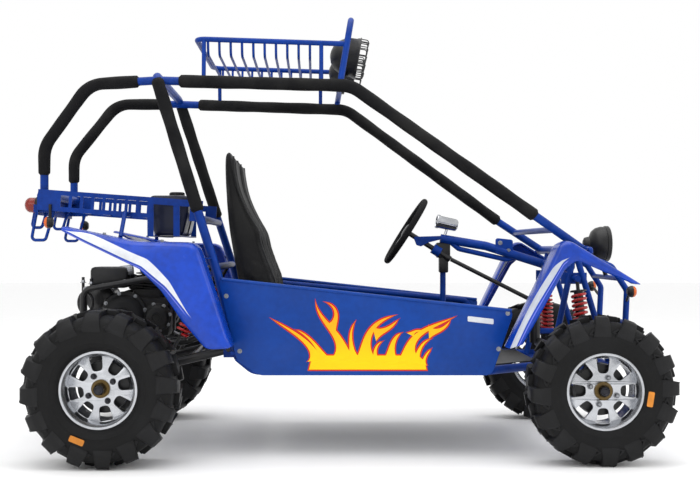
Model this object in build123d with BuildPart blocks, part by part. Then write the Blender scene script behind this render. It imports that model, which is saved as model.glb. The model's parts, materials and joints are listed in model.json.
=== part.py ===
from build123d import *
from math import atan2, degrees, hypot
import os

os.makedirs("parts", exist_ok=True)

# Driving dimensions in millimetres: X forward, Y to the left, Z up, ground at Z = 0
WHEELBASE = 1790
FRONT_AXLE_X = 947
REAR_AXLE_X = FRONT_AXLE_X - WHEELBASE
FRONT_TRACK = 1102
REAR_TRACK = 1146
FRONT_TYRE_RADIUS = 267
FRONT_TYRE_WIDTH = 178
REAR_TYRE_RADIUS = 279
REAR_TYRE_WIDTH = 254
BODY_WIDTH = 900
ROOF_WIDTH = 740
ROOF_HEIGHT = 1430
FLOOR_HEIGHT = 322

# Tube and sheet sizes
HOOP_TUBE = 34
FRAME_TUBE = 32
CROSS_TUBE = 28
LIGHT_TUBE = 24
NOSE_TUBE = 36
ROD = 12
PANEL = 4
FENDER_SHEET = 5
FOAM = 55
BEND = 90

# Clearances between pieces
TOUCH = 0.3
PIN_CLEARANCE = 0.5

# Lines of the frame that several pieces share
FRAME_Y = BODY_WIDTH / 2 - PANEL - TOUCH - HOOP_TUBE / 2
ROOF_Y = ROOF_WIDTH / 2
NOSE_Y = BODY_WIDTH / 2 - 50
CLIP_Y = 262
TOWER_Y = 245
HOOP_TOP = (-685, ROOF_HEIGHT)
HOOP_WAIST = (-443, 669)
HOOP_FOOT = (-372, FLOOR_HEIGHT + 50)
ROOF_FRONT = (53, ROOF_HEIGHT - 40)
PILLAR_FOOT = (745, 890)
NOSE = (925, 768)
PANEL_FRONT_TOP = (656, 550)
PANEL_FRONT_FOOT = (571, FLOOR_HEIGHT - FRAME_TUBE / 2)
PANEL_REAR_FOOT = (-291, FLOOR_HEIGHT - FRAME_TUBE / 2)


def save(piece, name):
    """Labels a finished piece and writes it as its own file."""
    piece.part.label = name
    export_step(piece.part, f"parts/{name}.step")


def add_tube(points, diameter, bend=BEND):
    """Adds a round tube along a bent line to the part in hand."""
    with BuildLine() as run:
        if len(points) > 2:
            FilletPolyline(*points, radius=bend)
        else:
            Line(*points)
    with BuildSketch(Plane(run.line @ 0, z_dir=run.line % 0)) as section:
        Circle(diameter / 2)
    sweep(section.sketch, path=run.line)


def add_sleeve(points, outside, inside, bend=BEND):
    """Adds a hollow sleeve along a bent line to the part in hand."""
    with BuildLine() as run:
        if len(points) > 2:
            FilletPolyline(*points, radius=bend)
        else:
            Line(*points)
    with BuildSketch(Plane(run.line @ 0, z_dir=run.line % 0)) as section:
        Circle(outside / 2)
        Circle(inside / 2, mode=Mode.SUBTRACT)
    sweep(section.sketch, path=run.line)


def add_bar_across(x, z, half, diameter):
    """Adds a straight round bar across the vehicle to the part in hand."""
    add_tube([(x, -half, z), (x, half, z)], diameter)


def side_plane(y):
    """Gives the plane of a side view at lateral place y, its axes X and Z."""
    return Plane((0, y, 0), x_dir=(1, 0, 0), z_dir=(0, -1, 0))


def between(start, end, share):
    """Gives the point at a share of the way between two points."""
    return tuple(a + (b - a) * share for a, b in zip(start, end))


def hoop_at(z):
    """Gives the centre of the left hoop leg at height z."""
    if z > HOOP_WAIST[1]:
        share = (z - HOOP_WAIST[1]) / (HOOP_TOP[1] - HOOP_WAIST[1])
        x, _ = between(HOOP_WAIST, HOOP_TOP, share)
        return (x, FRAME_Y + (ROOF_Y - FRAME_Y) * share, z)
    share = (z - HOOP_FOOT[1]) / (HOOP_WAIST[1] - HOOP_FOOT[1])
    x, _ = between(HOOP_FOOT, HOOP_WAIST, share)
    return (x, FRAME_Y, z)


# Lower frame: floor rails, cross members, suspension towers and swing arm lugs
SWING_PIVOT = (-420, FLOOR_HEIGHT + 62)
SWING_Y = 225
LUG = 8
PIVOT_PIN = 16
TOWER_BAR_Z = FLOOR_HEIGHT + 98
TOWER_REAR_X = 830
TOWER_FRONT_X = 1060
SHOCK_BAR = (921, 660)
SHOCK_BAR_HALF = 314
RACK_X = 872
DASH_BAR = (905, 706)
DASH_BAR_TUBE = 42
FOOT_PLATE = (48, 12)  # side and thickness of the plate under each hoop leg
FOOT_PLATE_Z = HOOP_FOOT[1] + FRAME_TUBE / 2
GUSSET = (100, 6, 44)  # length, thickness and height of the plate round the shock bar
LUG_PLATE = (80, 48)  # length and height of each swing arm lug
CROSS_MEMBERS = [  # x, half length
    (60, FRAME_Y),
    (480, FRAME_Y),
    (RACK_X, CLIP_Y),
    (TOWER_FRONT_X, CLIP_Y),
]
LUG_Y = SWING_Y + 30

with BuildPart() as lower_frame:
    add_tube(
        [
            (HOOP_FOOT[0], FRAME_Y, HOOP_FOOT[1]),
            (PANEL_REAR_FOOT[0] - 20, FRAME_Y, FLOOR_HEIGHT),
            (PANEL_FRONT_FOOT[0] - 10, FRAME_Y, FLOOR_HEIGHT),
            (TOWER_REAR_X - 60, CLIP_Y, FLOOR_HEIGHT),
            (TOWER_FRONT_X + FRAME_TUBE / 2, CLIP_Y, FLOOR_HEIGHT),
        ],
        FRAME_TUBE,
        bend=60,
    )
    for foot_x in (TOWER_REAR_X, TOWER_FRONT_X):
        add_tube([(foot_x, TOWER_Y, FLOOR_HEIGHT), (NOSE[0], TOWER_Y, NOSE[1])], LIGHT_TUBE)
    add_tube([(TOWER_REAR_X, TOWER_Y, TOWER_BAR_Z), (TOWER_FRONT_X, TOWER_Y, TOWER_BAR_Z)], LIGHT_TUBE)
    with Locations((SHOCK_BAR[0], TOWER_Y, SHOCK_BAR[1])):
        Box(*GUSSET)
    with Locations((SWING_PIVOT[0] + 22, LUG_Y, SWING_PIVOT[1] - 6)):
        Box(LUG_PLATE[0], LUG, LUG_PLATE[1])
    with Locations((HOOP_FOOT[0], FRAME_Y, FOOT_PLATE_Z)):
        Box(FOOT_PLATE[0], HOOP_TUBE, FOOT_PLATE[1])
    mirror(about=Plane.XZ)
    for member_x, half in CROSS_MEMBERS:
        add_bar_across(member_x, FLOOR_HEIGHT, half, CROSS_TUBE)
    add_bar_across(*HOOP_FOOT, FRAME_Y, CROSS_TUBE)
    add_bar_across(*SHOCK_BAR, SHOCK_BAR_HALF, LIGHT_TUBE)
    add_bar_across(*NOSE, NOSE_Y + FRAME_TUBE, NOSE_TUBE)
    add_bar_across(*DASH_BAR, TOWER_Y, DASH_BAR_TUBE)
    with BuildSketch(side_plane(0)):
        with Locations(SWING_PIVOT):
            Circle(PIVOT_PIN / 2 + PIN_CLEARANCE)
    extrude(amount=BODY_WIDTH / 2, both=True, mode=Mode.SUBTRACT)
save(lower_frame, "lower_frame")

# Floor pan on the rails
PAN_Z = FLOOR_HEIGHT + CROSS_TUBE / 2 + TOUCH
PAN_THICK = 3
PAN_REAR_X = -275
PAN_FRONT_X = 780
PAN_Y = FRAME_Y - FRAME_TUBE / 2 + 1
PAN_FRONT_Y = CLIP_Y - FRAME_TUBE / 2 - 2
with BuildPart() as floor_pan:
    with BuildSketch(Plane.XY.offset(PAN_Z)):
        Polygon(
            (PAN_REAR_X, -PAN_Y),
            (PANEL_FRONT_FOOT[0] - 34, -PAN_Y),
            (TOWER_REAR_X - 94, -PAN_FRONT_Y),
            (PAN_FRONT_X, -PAN_FRONT_Y),
            (PAN_FRONT_X, PAN_FRONT_Y),
            (TOWER_REAR_X - 94, PAN_FRONT_Y),
            (PANEL_FRONT_FOOT[0] - 34, PAN_Y),
            (PAN_REAR_X, PAN_Y),
            align=None,
        )
    extrude(amount=PAN_THICK)
save(floor_pan, "floor_pan")

# Roll cage: main hoop, roof rails with the front pillars, rear stays and cross tubes
HOOP_BEND = 60
HOOP_CORNER = 0.3 * HOOP_BEND  # how far the bend cuts inside the hoop's corner
hoop_left = [
    (HOOP_FOOT[0], FRAME_Y, FOOT_PLATE_Z),
    (HOOP_WAIST[0], FRAME_Y, HOOP_WAIST[1]),
    (HOOP_TOP[0], ROOF_Y, HOOP_TOP[1]),
]
with BuildPart() as main_hoop:
    add_tube(
        hoop_left + [(x, -y, z) for x, y, z in reversed(hoop_left)],
        HOOP_TUBE,
        bend=HOOP_BEND,
    )
    add(lower_frame.part, mode=Mode.SUBTRACT)
save(main_hoop, "main_hoop")

HOOP_JOINT = (HOOP_TOP[0], ROOF_Y - HOOP_CORNER, HOOP_TOP[1] - HOOP_CORNER)
ROOF_RAIL = [
    HOOP_JOINT,
    (ROOF_FRONT[0], ROOF_Y, ROOF_FRONT[1]),
    (PILLAR_FOOT[0], NOSE_Y + 30, PILLAR_FOOT[1]),
    (NOSE[0], NOSE_Y, NOSE[1]),
]
with BuildPart() as roof_rails:
    add_tube(ROOF_RAIL, FRAME_TUBE)
    mirror(about=Plane.XZ)
    add(main_hoop.part, mode=Mode.SUBTRACT)
    add(lower_frame.part, mode=Mode.SUBTRACT)
save(roof_rails, "roof_rails")

RACK_BAR_Z = 888
WAIST_BAR_Z = 705
ENGINE_BAR_Z = 480
PILLAR_BAR = between(PILLAR_FOOT, NOSE, 0.36)
PILLAR_BAR_HALF = NOSE_Y + 15
with BuildPart() as cage_cross_tubes:
    for bar_z in (RACK_BAR_Z, WAIST_BAR_Z, ENGINE_BAR_Z):
        bar_x, bar_y, _ = hoop_at(bar_z)
        add_bar_across(bar_x, bar_z, bar_y, CROSS_TUBE)
    add_bar_across(*PILLAR_BAR, PILLAR_BAR_HALF, LIGHT_TUBE)
    add(main_hoop.part, mode=Mode.SUBTRACT)
    add(roof_rails.part, mode=Mode.SUBTRACT)
save(cage_cross_tubes, "cage_cross_tubes")

# Rear rack: two pierced side plates, tail plate, floor bars, tail tube, tank straps and tow loops
RACK_Y = 300
RACK_PLATE = 4
RACK_DEPTH = 80
RACK_REAR = (-1145, 1004)
RACK_FRONT = (hoop_at(RACK_BAR_Z)[0], 958)
TAIL_TUBE = (-1130, 984)
WINDOWS = 8
WINDOW = (31, 45)
WINDOW_PITCH = 43
WINDOWS_X = -891  # middle of the row of windows
TANK_NOTCH = (-703, -560)  # where the side plates are cut away beside the tank
NOTCH_STRIP = 26  # depth of the plate that is left above the notch
FLOOR_BARS = 4
FLOOR_BAR_PITCH = 85
TANK_X = -665
STRAP_Z = 822
STRAP_TOP = 952
STRAP_WIDTH = 24
STRAP_SPREAD = 50  # from the middle of the tank to each strap
LOOPS = [  # lateral place, x of the rear leg, length, top, bottom
    (285, -1175, 90, 930, 808),
    (180, -1200, 66, 945, 858),
]
rack_slope = degrees(atan2(RACK_REAR[1] - RACK_FRONT[1], RACK_FRONT[0] - RACK_REAR[0]))
rack_plate_centre = between(RACK_REAR, RACK_FRONT, 0.5)
rack_length = hypot(RACK_FRONT[0] - RACK_REAR[0], RACK_FRONT[1] - RACK_REAR[1])
rack_inside = RACK_Y - 1  # bars and straps end inside the side plates
tail_plate_centre_x = TAIL_TUBE[0] - NOSE_TUBE / 2
notch_middle = sum(TANK_NOTCH) / 2
notch_length = TANK_NOTCH[1] - TANK_NOTCH[0]

with BuildPart() as rear_rack:
    with BuildSketch(side_plane(RACK_Y)):
        with Locations(Location((*rack_plate_centre, 0), (0, 0, -rack_slope))):
            with Locations((0, -RACK_DEPTH / 2)):
                Rectangle(rack_length, RACK_DEPTH)
            with Locations((WINDOWS_X - rack_plate_centre[0], -RACK_DEPTH / 2)):
                with GridLocations(WINDOW_PITCH, 0, WINDOWS, 1):
                    Rectangle(*WINDOW, mode=Mode.SUBTRACT)
            with Locations((notch_middle - rack_plate_centre[0], -NOTCH_STRIP - RACK_DEPTH / 2)):
                Rectangle(notch_length, RACK_DEPTH, mode=Mode.SUBTRACT)
    extrude(amount=RACK_PLATE)
    for loop_y, loop_x, length, top, bottom in LOOPS:
        add_tube(
            [
                (loop_x + length * 0.25, loop_y, top),
                (loop_x, loop_y, bottom),
                (loop_x + length * 0.6, loop_y, bottom),
                (loop_x + length, loop_y, top),
            ],
            ROD,
            bend=14,
        )
        with Locations((loop_x + length * 0.6, loop_y, top)):
            Box(length, 8, 30)
    mirror(about=Plane.XZ)
    add_bar_across(*TAIL_TUBE, rack_inside, NOSE_TUBE)
    with Locations((tail_plate_centre_x, 0, TAIL_TUBE[1] - RACK_DEPTH / 2)):
        Box(RACK_PLATE, 2 * rack_inside, RACK_DEPTH)
    for number in range(FLOOR_BARS):
        share = (number + 1) * FLOOR_BAR_PITCH / rack_length
        floor_x, floor_z = between(RACK_REAR, RACK_FRONT, share)
        add_bar_across(floor_x, floor_z - RACK_DEPTH + ROD, rack_inside, ROD)
    for strap_x in (TANK_X - STRAP_SPREAD, TANK_X + STRAP_SPREAD):
        with BuildSketch(Plane.YZ.offset(strap_x)):
            with Locations((0, (STRAP_Z + STRAP_TOP) / 2)):
                Rectangle(2 * rack_inside, STRAP_TOP - STRAP_Z)
            with Locations((0, (STRAP_Z + STRAP_TOP) / 2 + RACK_PLATE)):
                Rectangle(2 * (rack_inside - RACK_PLATE), STRAP_TOP - STRAP_Z, mode=Mode.SUBTRACT)
        extrude(amount=STRAP_WIDTH / 2, both=True)
    add(cage_cross_tubes.part, mode=Mode.SUBTRACT)
save(rear_rack, "rear_rack")

STAY = [
    HOOP_JOINT,
    (-949, 300, ROOF_HEIGHT - 25),
    (TAIL_TUBE[0], 265, ROOF_HEIGHT - 262),
    (TAIL_TUBE[0], 265, TAIL_TUBE[1]),
]
with BuildPart() as rear_stays:
    add_tube(STAY, FRAME_TUBE, bend=70)
    mirror(about=Plane.XZ)
    for neighbour in (main_hoop, roof_rails, rear_rack):
        add(neighbour.part, mode=Mode.SUBTRACT)
save(rear_stays, "rear_stays")

# Waist rails behind the side panels, and the panels themselves
with BuildPart() as waist_rails:
    add_tube(
        [
            hoop_at(HOOP_WAIST[1] - 29),
            (PANEL_FRONT_TOP[0] - 30, FRAME_Y, PANEL_FRONT_TOP[1] - 10),
            (PANEL_FRONT_FOOT[0] - 45, FRAME_Y, FLOOR_HEIGHT),
        ],
        LIGHT_TUBE,
        bend=40,
    )
    mirror(about=Plane.XZ)
    add(main_hoop.part, mode=Mode.SUBTRACT)
    add(lower_frame.part, mode=Mode.SUBTRACT)
save(waist_rails, "waist_rails")

with BuildPart() as side_panel_left:
    with BuildSketch(side_plane(BODY_WIDTH / 2)):
        Polygon(
            HOOP_WAIST,
            (HOOP_FOOT[0], HOOP_FOOT[1] - 8),
            PANEL_REAR_FOOT,
            PANEL_FRONT_FOOT,
            PANEL_FRONT_TOP,
            align=None,
        )
    extrude(amount=PANEL)
save(side_panel_left, "side_panel_left")
with BuildPart() as side_panel_right:
    mirror(side_panel_left.part, about=Plane.XZ)
save(side_panel_right, "side_panel_right")


def roof_rail_at(x):
    """Gives the centre of the left roof rail at length x, behind its front bend."""
    share = (x - HOOP_JOINT[0]) / (ROOF_RAIL[1][0] - HOOP_JOINT[0])
    return between(HOOP_JOINT, ROOF_RAIL[1], share)


# Light hoop over the front of the roof, with its two lamps
LIGHT_FOOT_X = 10
LIGHT_TOP = (55, ROOF_HEIGHT + 226)
LIGHT_Y = 340
LAMP = (45, 200, ROOF_HEIGHT + 97)
LAMP_RADIUS = 82
LAMP_DEPTH = 145
LAMP_BAR_Z = ROOF_HEIGHT - 3
light_foot = roof_rail_at(LIGHT_FOOT_X)
light_corner = (LIGHT_TOP[0], LIGHT_Y, LIGHT_TOP[1])
lamp_bar_share = (LAMP_BAR_Z - light_foot[2]) / (LIGHT_TOP[1] - light_foot[2])
lamp_bar = between(light_foot, light_corner, lamp_bar_share)
with BuildPart() as light_hoop:
    add_tube(
        [
            light_foot,
            light_corner,
            (light_corner[0], -light_corner[1], light_corner[2]),
            (light_foot[0], -light_foot[1], light_foot[2]),
        ],
        LIGHT_TUBE,
    )
    add_bar_across(lamp_bar[0], lamp_bar[2], lamp_bar[1], LIGHT_TUBE - 4)
    add(roof_rails.part, mode=Mode.SUBTRACT)
save(light_hoop, "light_hoop")

with BuildPart() as roof_lamps:
    lamp_back = LAMP[0] - LAMP_DEPTH / 2
    with BuildSketch(Plane((lamp_back, LAMP[1], LAMP[2]), x_dir=(1, 0, 0), z_dir=(0, -1, 0))):
        with BuildLine():
            Polyline((0, 0), (LAMP_DEPTH, 0), (LAMP_DEPTH, LAMP_RADIUS), (LAMP_DEPTH * 0.6, LAMP_RADIUS))
            EllipticalCenterArc(
                (LAMP_DEPTH * 0.6, 0), LAMP_DEPTH * 0.6, LAMP_RADIUS, start_angle=90, arc_size=90
            )
        make_face()
    revolve(axis=Axis((0, LAMP[1], LAMP[2]), (1, 0, 0)))
    add_tube([(lamp_bar[0], LAMP[1], lamp_bar[2]), (lamp_bar[0], LAMP[1], LAMP[2])], LIGHT_TUBE - 6)
    mirror(about=Plane.XZ)
    add(light_hoop.part, mode=Mode.SUBTRACT)
save(roof_lamps, "roof_lamps")

# Roof basket of a bent top rail, bent slats and posts
BASKET_Y = 345
BASKET_REAR = (-534, ROOF_HEIGHT + 141)
BASKET_FRONT = (37, ROOF_HEIGHT + 122)
BASKET_RAIL = 20
BASKET_DEPTH = 58
SLATS = 11
SLAT_FIRST_X = -490
SLAT_PITCH = 43
SLAT = 10
BASKET_POSTS = (-505, -60)
with BuildPart() as roof_basket:
    add_tube(
        [
            (BASKET_FRONT[0], BASKET_Y, BASKET_FRONT[1]),
            (BASKET_REAR[0], BASKET_Y, BASKET_REAR[1]),
            (BASKET_REAR[0], -BASKET_Y, BASKET_REAR[1]),
            (BASKET_FRONT[0], -BASKET_Y, BASKET_FRONT[1]),
        ],
        BASKET_RAIL,
        bend=40,
    )
    for number in range(SLATS):
        slat_x = SLAT_FIRST_X + number * SLAT_PITCH
        share = (slat_x - BASKET_REAR[0]) / (BASKET_FRONT[0] - BASKET_REAR[0])
        slat_z = between(BASKET_REAR, BASKET_FRONT, share)[1]
        half_slat = [(slat_x, BASKET_Y, slat_z), (slat_x, BASKET_Y - 12, slat_z - BASKET_DEPTH)]
        add_tube(half_slat + [(x, -y, z) for x, y, z in reversed(half_slat)], SLAT, bend=30)
    for post_x in BASKET_POSTS:
        share = (post_x - BASKET_REAR[0]) / (BASKET_FRONT[0] - BASKET_REAR[0])
        post_top = between(BASKET_REAR, BASKET_FRONT, share)[1]
        for sign in (1, -1):
            foot_x, foot_y, foot_z = roof_rail_at(post_x)
            add_tube([(foot_x, sign * foot_y, foot_z), (post_x, sign * BASKET_Y, post_top)], BASKET_RAIL - 4)
    add(roof_rails.part, mode=Mode.SUBTRACT)
    add(light_hoop.part, mode=Mode.SUBTRACT)
save(roof_basket, "roof_basket")

# Foam sleeves on the cage, opened round the posts that pass through them
HOOP_FOAM = (912, ROOF_HEIGHT - 95)  # heights of its lower and upper end
SLEEVE = FRAME_TUBE + 2 * TOUCH
with BuildPart() as cage_foam:
    add_sleeve(
        [roof_rail_at(HOOP_TOP[0] + 85), ROOF_RAIL[1], between(ROOF_RAIL[1], ROOF_RAIL[2], 0.93)],
        FOAM,
        SLEEVE,
    )
    add_sleeve([hoop_at(HOOP_FOAM[0]), hoop_at(HOOP_FOAM[1])], FOAM, HOOP_TUBE + 2 * TOUCH)
    add_sleeve(
        [between(STAY[0], STAY[1], 0.25), STAY[1], STAY[2], between(STAY[2], STAY[3], 0.6)],
        FOAM,
        SLEEVE,
        bend=70,
    )
    mirror(about=Plane.XZ)
    add(roof_basket.part, mode=Mode.SUBTRACT)
    add(light_hoop.part, mode=Mode.SUBTRACT)
save(cage_foam, "cage_foam")

# Tail lamps and the four indicators
TAIL_LAMP = (230, 945)
TAIL_LAMP_RADIUS = 30
TAIL_END_X = -1214
tail_plate_x = tail_plate_centre_x - RACK_PLATE / 2
with BuildPart() as tail_lamps:
    with BuildSketch(Plane((tail_plate_x, TAIL_LAMP[0], TAIL_LAMP[1]), z_dir=(-1, 0, 0))):
        Circle(TAIL_LAMP_RADIUS)
    extrude(amount=tail_plate_x - TAIL_END_X)
    fillet(edges().sort_by(Axis.X)[0], radius=10)
    mirror(about=Plane.XZ)
    add(rear_rack.part, mode=Mode.SUBTRACT)
save(tail_lamps, "tail_lamps")

REAR_INDICATOR = (-1098, 875)
FRONT_INDICATOR = (1128, 309, 611)
INDICATOR = (44, 36)  # diameter and depth
STALK = 12
BUMPER_Y = 200
BUMPER = [
    (TOWER_FRONT_X, BUMPER_Y, FLOOR_HEIGHT),
    (1130, BUMPER_Y, 400),
    (1140, BUMPER_Y, FRONT_INDICATOR[2]),
    (1080, BUMPER_Y, 705),
    (NOSE[0], BUMPER_Y, NOSE[1]),
]
BUMPER_BAR = 20
bumper_bars = [between(BUMPER[1], BUMPER[2], 0.4), between(BUMPER[2], BUMPER[3], 0.5)]
with BuildPart() as front_bumper:
    add_tube(BUMPER, LIGHT_TUBE, bend=30)
    mirror(about=Plane.XZ)
    for bar_x, _, bar_z in bumper_bars:
        add_bar_across(bar_x, bar_z, BUMPER_Y, BUMPER_BAR)
    add(lower_frame.part, mode=Mode.SUBTRACT)
save(front_bumper, "front_bumper")

rear_stalk_y = RACK_Y + STALK / 2 + TOUCH
rear_lamp_y = RACK_Y + 28
stalk_x, _, stalk_z = between(BUMPER[1], BUMPER[2], 0.8)
with BuildPart() as indicators:
    with Locations(Location((REAR_INDICATOR[0], rear_lamp_y, REAR_INDICATOR[1]), (0, 90, 0))):
        Cylinder(INDICATOR[0] / 2, INDICATOR[1])
    add_tube(
        [(REAR_INDICATOR[0], rear_stalk_y, REAR_INDICATOR[1]), (REAR_INDICATOR[0], rear_stalk_y, 945)], STALK
    )
    with Locations(Location(FRONT_INDICATOR, (0, 90, 0))):
        Cylinder(INDICATOR[0] / 2, INDICATOR[1])
    add_tube([FRONT_INDICATOR, (stalk_x, BUMPER_Y, stalk_z)], STALK)
    mirror(about=Plane.XZ)
    add(front_bumper.part, mode=Mode.SUBTRACT)
save(indicators, "indicators")

# Headlamp on its stalk above the bumper
HEADLAMP = (1085, 0, 795)
HEADLAMP_RADIUS = 70
HEADLAMP_NOSE = 34
lamp_foot = bumper_bars[1]
with BuildPart() as headlamp:
    with BuildSketch(Plane(HEADLAMP, x_dir=(1, 0, 0), z_dir=(0, -1, 0))):
        with BuildLine():
            Polyline(
                (-HEADLAMP_RADIUS, 0),
                (HEADLAMP_NOSE, 0),
                (HEADLAMP_NOSE, HEADLAMP_RADIUS),
                (0, HEADLAMP_RADIUS),
            )
            CenterArc((0, 0), HEADLAMP_RADIUS, 90, 90)
        make_face()
    revolve(axis=Axis(HEADLAMP, (1, 0, 0)))
    add_tube([(lamp_foot[0], 0, lamp_foot[2]), (HEADLAMP[0], 0, HEADLAMP[2])], STALK)
    add(front_bumper.part, mode=Mode.SUBTRACT)
save(headlamp, "headlamp")

# Fuel tank across the rear rack, with its cap
TANK_LENGTH = 156
TANK_HALF = 150
TANK_TOP = 987
TANK_CAP = (60, 20)  # diameter and height
TANK_CAP_AHEAD = 15  # from the tank's middle forward to its cap
tank_foot = STRAP_Z + RACK_PLATE + TOUCH
with BuildPart() as fuel_tank:
    with BuildSketch(side_plane(TANK_HALF)):
        Polygon(
            (TANK_X - TANK_LENGTH / 2, TANK_TOP),
            (TANK_X - TANK_LENGTH / 2, TANK_TOP - 70),
            (TANK_X - TANK_LENGTH / 2 + 22, tank_foot),
            (TANK_X + TANK_LENGTH / 2 - 22, tank_foot),
            (TANK_X + TANK_LENGTH / 2, TANK_TOP - 70),
            (TANK_X + TANK_LENGTH / 2, TANK_TOP),
            align=None,
        )
    extrude(amount=2 * TANK_HALF)
    fillet(edges().filter_by(Axis.Y), radius=20)
    with Locations((TANK_X + TANK_CAP_AHEAD, 0, TANK_TOP + TANK_CAP[1] / 2 - 1)):
        Cylinder(TANK_CAP[0] / 2, TANK_CAP[1])
save(fuel_tank, "fuel_tank")

# Two high-backed seats on the floor pan
SEAT_INSIDE = 10
SEAT_ROOM = 5.7  # between a seat and the hoop leg beside it
SEAT_OUTSIDE = FRAME_Y - HOOP_TUBE / 2 - SEAT_ROOM
SEAT_WIDTH = SEAT_OUTSIDE - SEAT_INSIDE
SEAT_Y = (SEAT_OUTSIDE + SEAT_INSIDE) / 2
SEAT_BACK_TOP = 1134
seat_foot = PAN_Z + PAN_THICK + TOUCH
with BuildPart() as seat_left:
    with BuildSketch(side_plane(SEAT_Y + SEAT_WIDTH / 2)):
        Polygon(
            (-265, seat_foot),
            (60, seat_foot),
            (64, seat_foot + 140.4),
            (-215, seat_foot + 106.4),
            (-262, 660),
            (-295, 835),
            (-350, 940),
            (-378, SEAT_BACK_TOP - 15),
            (-395, SEAT_BACK_TOP),
            (-416, SEAT_BACK_TOP - 10),
            (-417, 1020),
            (-370, 696),
            align=None,
        )
    extrude(amount=SEAT_WIDTH)
    fillet(edges().filter_by(Axis.Y).group_by(Axis.Z)[-1], radius=8)
save(seat_left, "seat_left")
with BuildPart() as seat_right:
    mirror(seat_left.part, about=Plane.XZ)
save(seat_right, "seat_right")

# Steering axes: the upper column from wheel to joint, then the lower shaft to the pinion
WHEEL_CENTRE = Vector(308, SEAT_Y + 32, 850)
COLUMN_END = Vector(490, WHEEL_CENTRE.Y, 735)
PINION = (852, 172)
PINION_RADIUS = 22
PINION_TOP = 585
SHAFT_END = Vector(826, 182, 562)
COLUMN_RADIUS = 11
SHAFT_RADIUS = 9
JOINT_RADIUS = 13
JOINT_REACH = 11.4
column_dir = (COLUMN_END - WHEEL_CENTRE).normalized()
shaft_dir = (SHAFT_END - COLUMN_END).normalized()

# Dash frame: beam, post and the ring that carries the column
DASH_TUBE = 38
POST_TUBE = 25
POST_Y = WHEEL_CENTRE.Y + 45
DASH_REAR = (457, 819)
DASH_BEND = (654, 786)
RING_X = 440
RING_RADIUS = 22
ring_centre = WHEEL_CENTRE + column_dir * ((RING_X - WHEEL_CENTRE.X) / column_dir.X)
post_x = DASH_REAR[0] + 16
with BuildPart() as dash_frame:
    add_tube(
        [
            (DASH_REAR[0], WHEEL_CENTRE.Y, DASH_REAR[1]),
            (DASH_BEND[0], WHEEL_CENTRE.Y, DASH_BEND[1]),
            (DASH_BAR[0], WHEEL_CENTRE.Y - 20, DASH_BAR[1]),
        ],
        DASH_TUBE,
    )
    add_tube(
        [
            (post_x, POST_Y, PAN_Z + PAN_THICK),
            (post_x, POST_Y, DASH_REAR[1] - 4),
            (post_x, WHEEL_CENTRE.Y, DASH_REAR[1] - 4),
        ],
        POST_TUBE,
        bend=20,
    )
    with BuildSketch(Plane(ring_centre, z_dir=column_dir)):
        Circle(RING_RADIUS)
    extrude(amount=18, both=True)
    add_tube([tuple(ring_centre), (post_x, POST_Y, ring_centre.Z - 10)], STALK)
    with BuildSketch(Plane(ring_centre, z_dir=column_dir)):
        Circle(COLUMN_RADIUS + PIN_CLEARANCE)
    extrude(amount=60, both=True, mode=Mode.SUBTRACT)
    add(lower_frame.part, mode=Mode.SUBTRACT)
save(dash_frame, "dash_frame")

GAUGE = (485, 883)
GAUGE_SIZE = (55, 95)  # diameter and length
with BuildPart() as gauge:
    with Locations(Location((GAUGE[0], WHEEL_CENTRE.Y, GAUGE[1]), (0, 90 + 12, 0))):
        Cylinder(GAUGE_SIZE[0] / 2, GAUGE_SIZE[1])
    add_tube([(GAUGE[0], WHEEL_CENTRE.Y, GAUGE[1]), (GAUGE[0], WHEEL_CENTRE.Y, DASH_REAR[1])], STALK)
    add(dash_frame.part, mode=Mode.SUBTRACT)
save(gauge, "gauge")

PEDALS = (150, 250)  # lateral places
PEDAL_FOOT_X = 690
PEDAL_TOP_X = 650
PEDAL_PAD = (8, 56, 70)
pedal_foot = PAN_Z + PAN_THICK
with BuildPart() as pedals:
    for pedal_y in PEDALS:
        pedal_line = [
            (PEDAL_FOOT_X, pedal_y, pedal_foot),
            (PEDAL_FOOT_X, pedal_y, pedal_foot + 60),
            (PEDAL_TOP_X, pedal_y, pedal_foot + 140),
        ]
        add_tube(pedal_line, STALK, bend=20)
        with Locations(Location((PEDAL_TOP_X, pedal_y, pedal_foot + 145), (0, -27, 0))):
            Box(*PEDAL_PAD)
save(pedals, "pedals")

# Rear fenders: outer skirt, top sheet and the sheet down beside the hoop leg
REAR_FENDER_REACH = 140  # from the body's side out to the skirt
REAR_FENDER_OUT = BODY_WIDTH / 2 + REAR_FENDER_REACH
REAR_FENDER_IN = BODY_WIDTH / 2 - 20
REAR_FENDER_FRONT_IN = BODY_WIDTH / 2 + 2
FENDER_TOP = [(-988, 853), (-730, 800), (-508, 796)]
FENDER_FRONT_FOOT = (-383, 424)
FENDER_ARCH = [(-472, 417), (-558, 519), (-631, 625), (-711, 705), (-909, 800)]
with BuildPart() as rear_fender_left:
    with BuildSketch(side_plane(REAR_FENDER_OUT)):
        Polygon(*FENDER_TOP, FENDER_FRONT_FOOT, *FENDER_ARCH, align=None)
    extrude(amount=FENDER_SHEET)
    with BuildSketch(side_plane(REAR_FENDER_OUT)):
        Polygon(
            *FENDER_TOP,
            *[(x, z - FENDER_SHEET) for x, z in reversed(FENDER_TOP)],
            align=None,
        )
    extrude(amount=REAR_FENDER_OUT - REAR_FENDER_IN)
    with BuildSketch(side_plane(REAR_FENDER_OUT)):
        Polygon(
            FENDER_TOP[-1],
            FENDER_FRONT_FOOT,
            (FENDER_FRONT_FOOT[0] - FENDER_SHEET, FENDER_FRONT_FOOT[1]),
            (FENDER_TOP[-1][0] - FENDER_SHEET, FENDER_TOP[-1][1]),
            align=None,
        )
    extrude(amount=REAR_FENDER_OUT - REAR_FENDER_FRONT_IN)
save(rear_fender_left, "rear_fender_left")
with BuildPart() as rear_fender_right:
    mirror(rear_fender_left.part, about=Plane.XZ)
save(rear_fender_right, "rear_fender_right")

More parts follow.
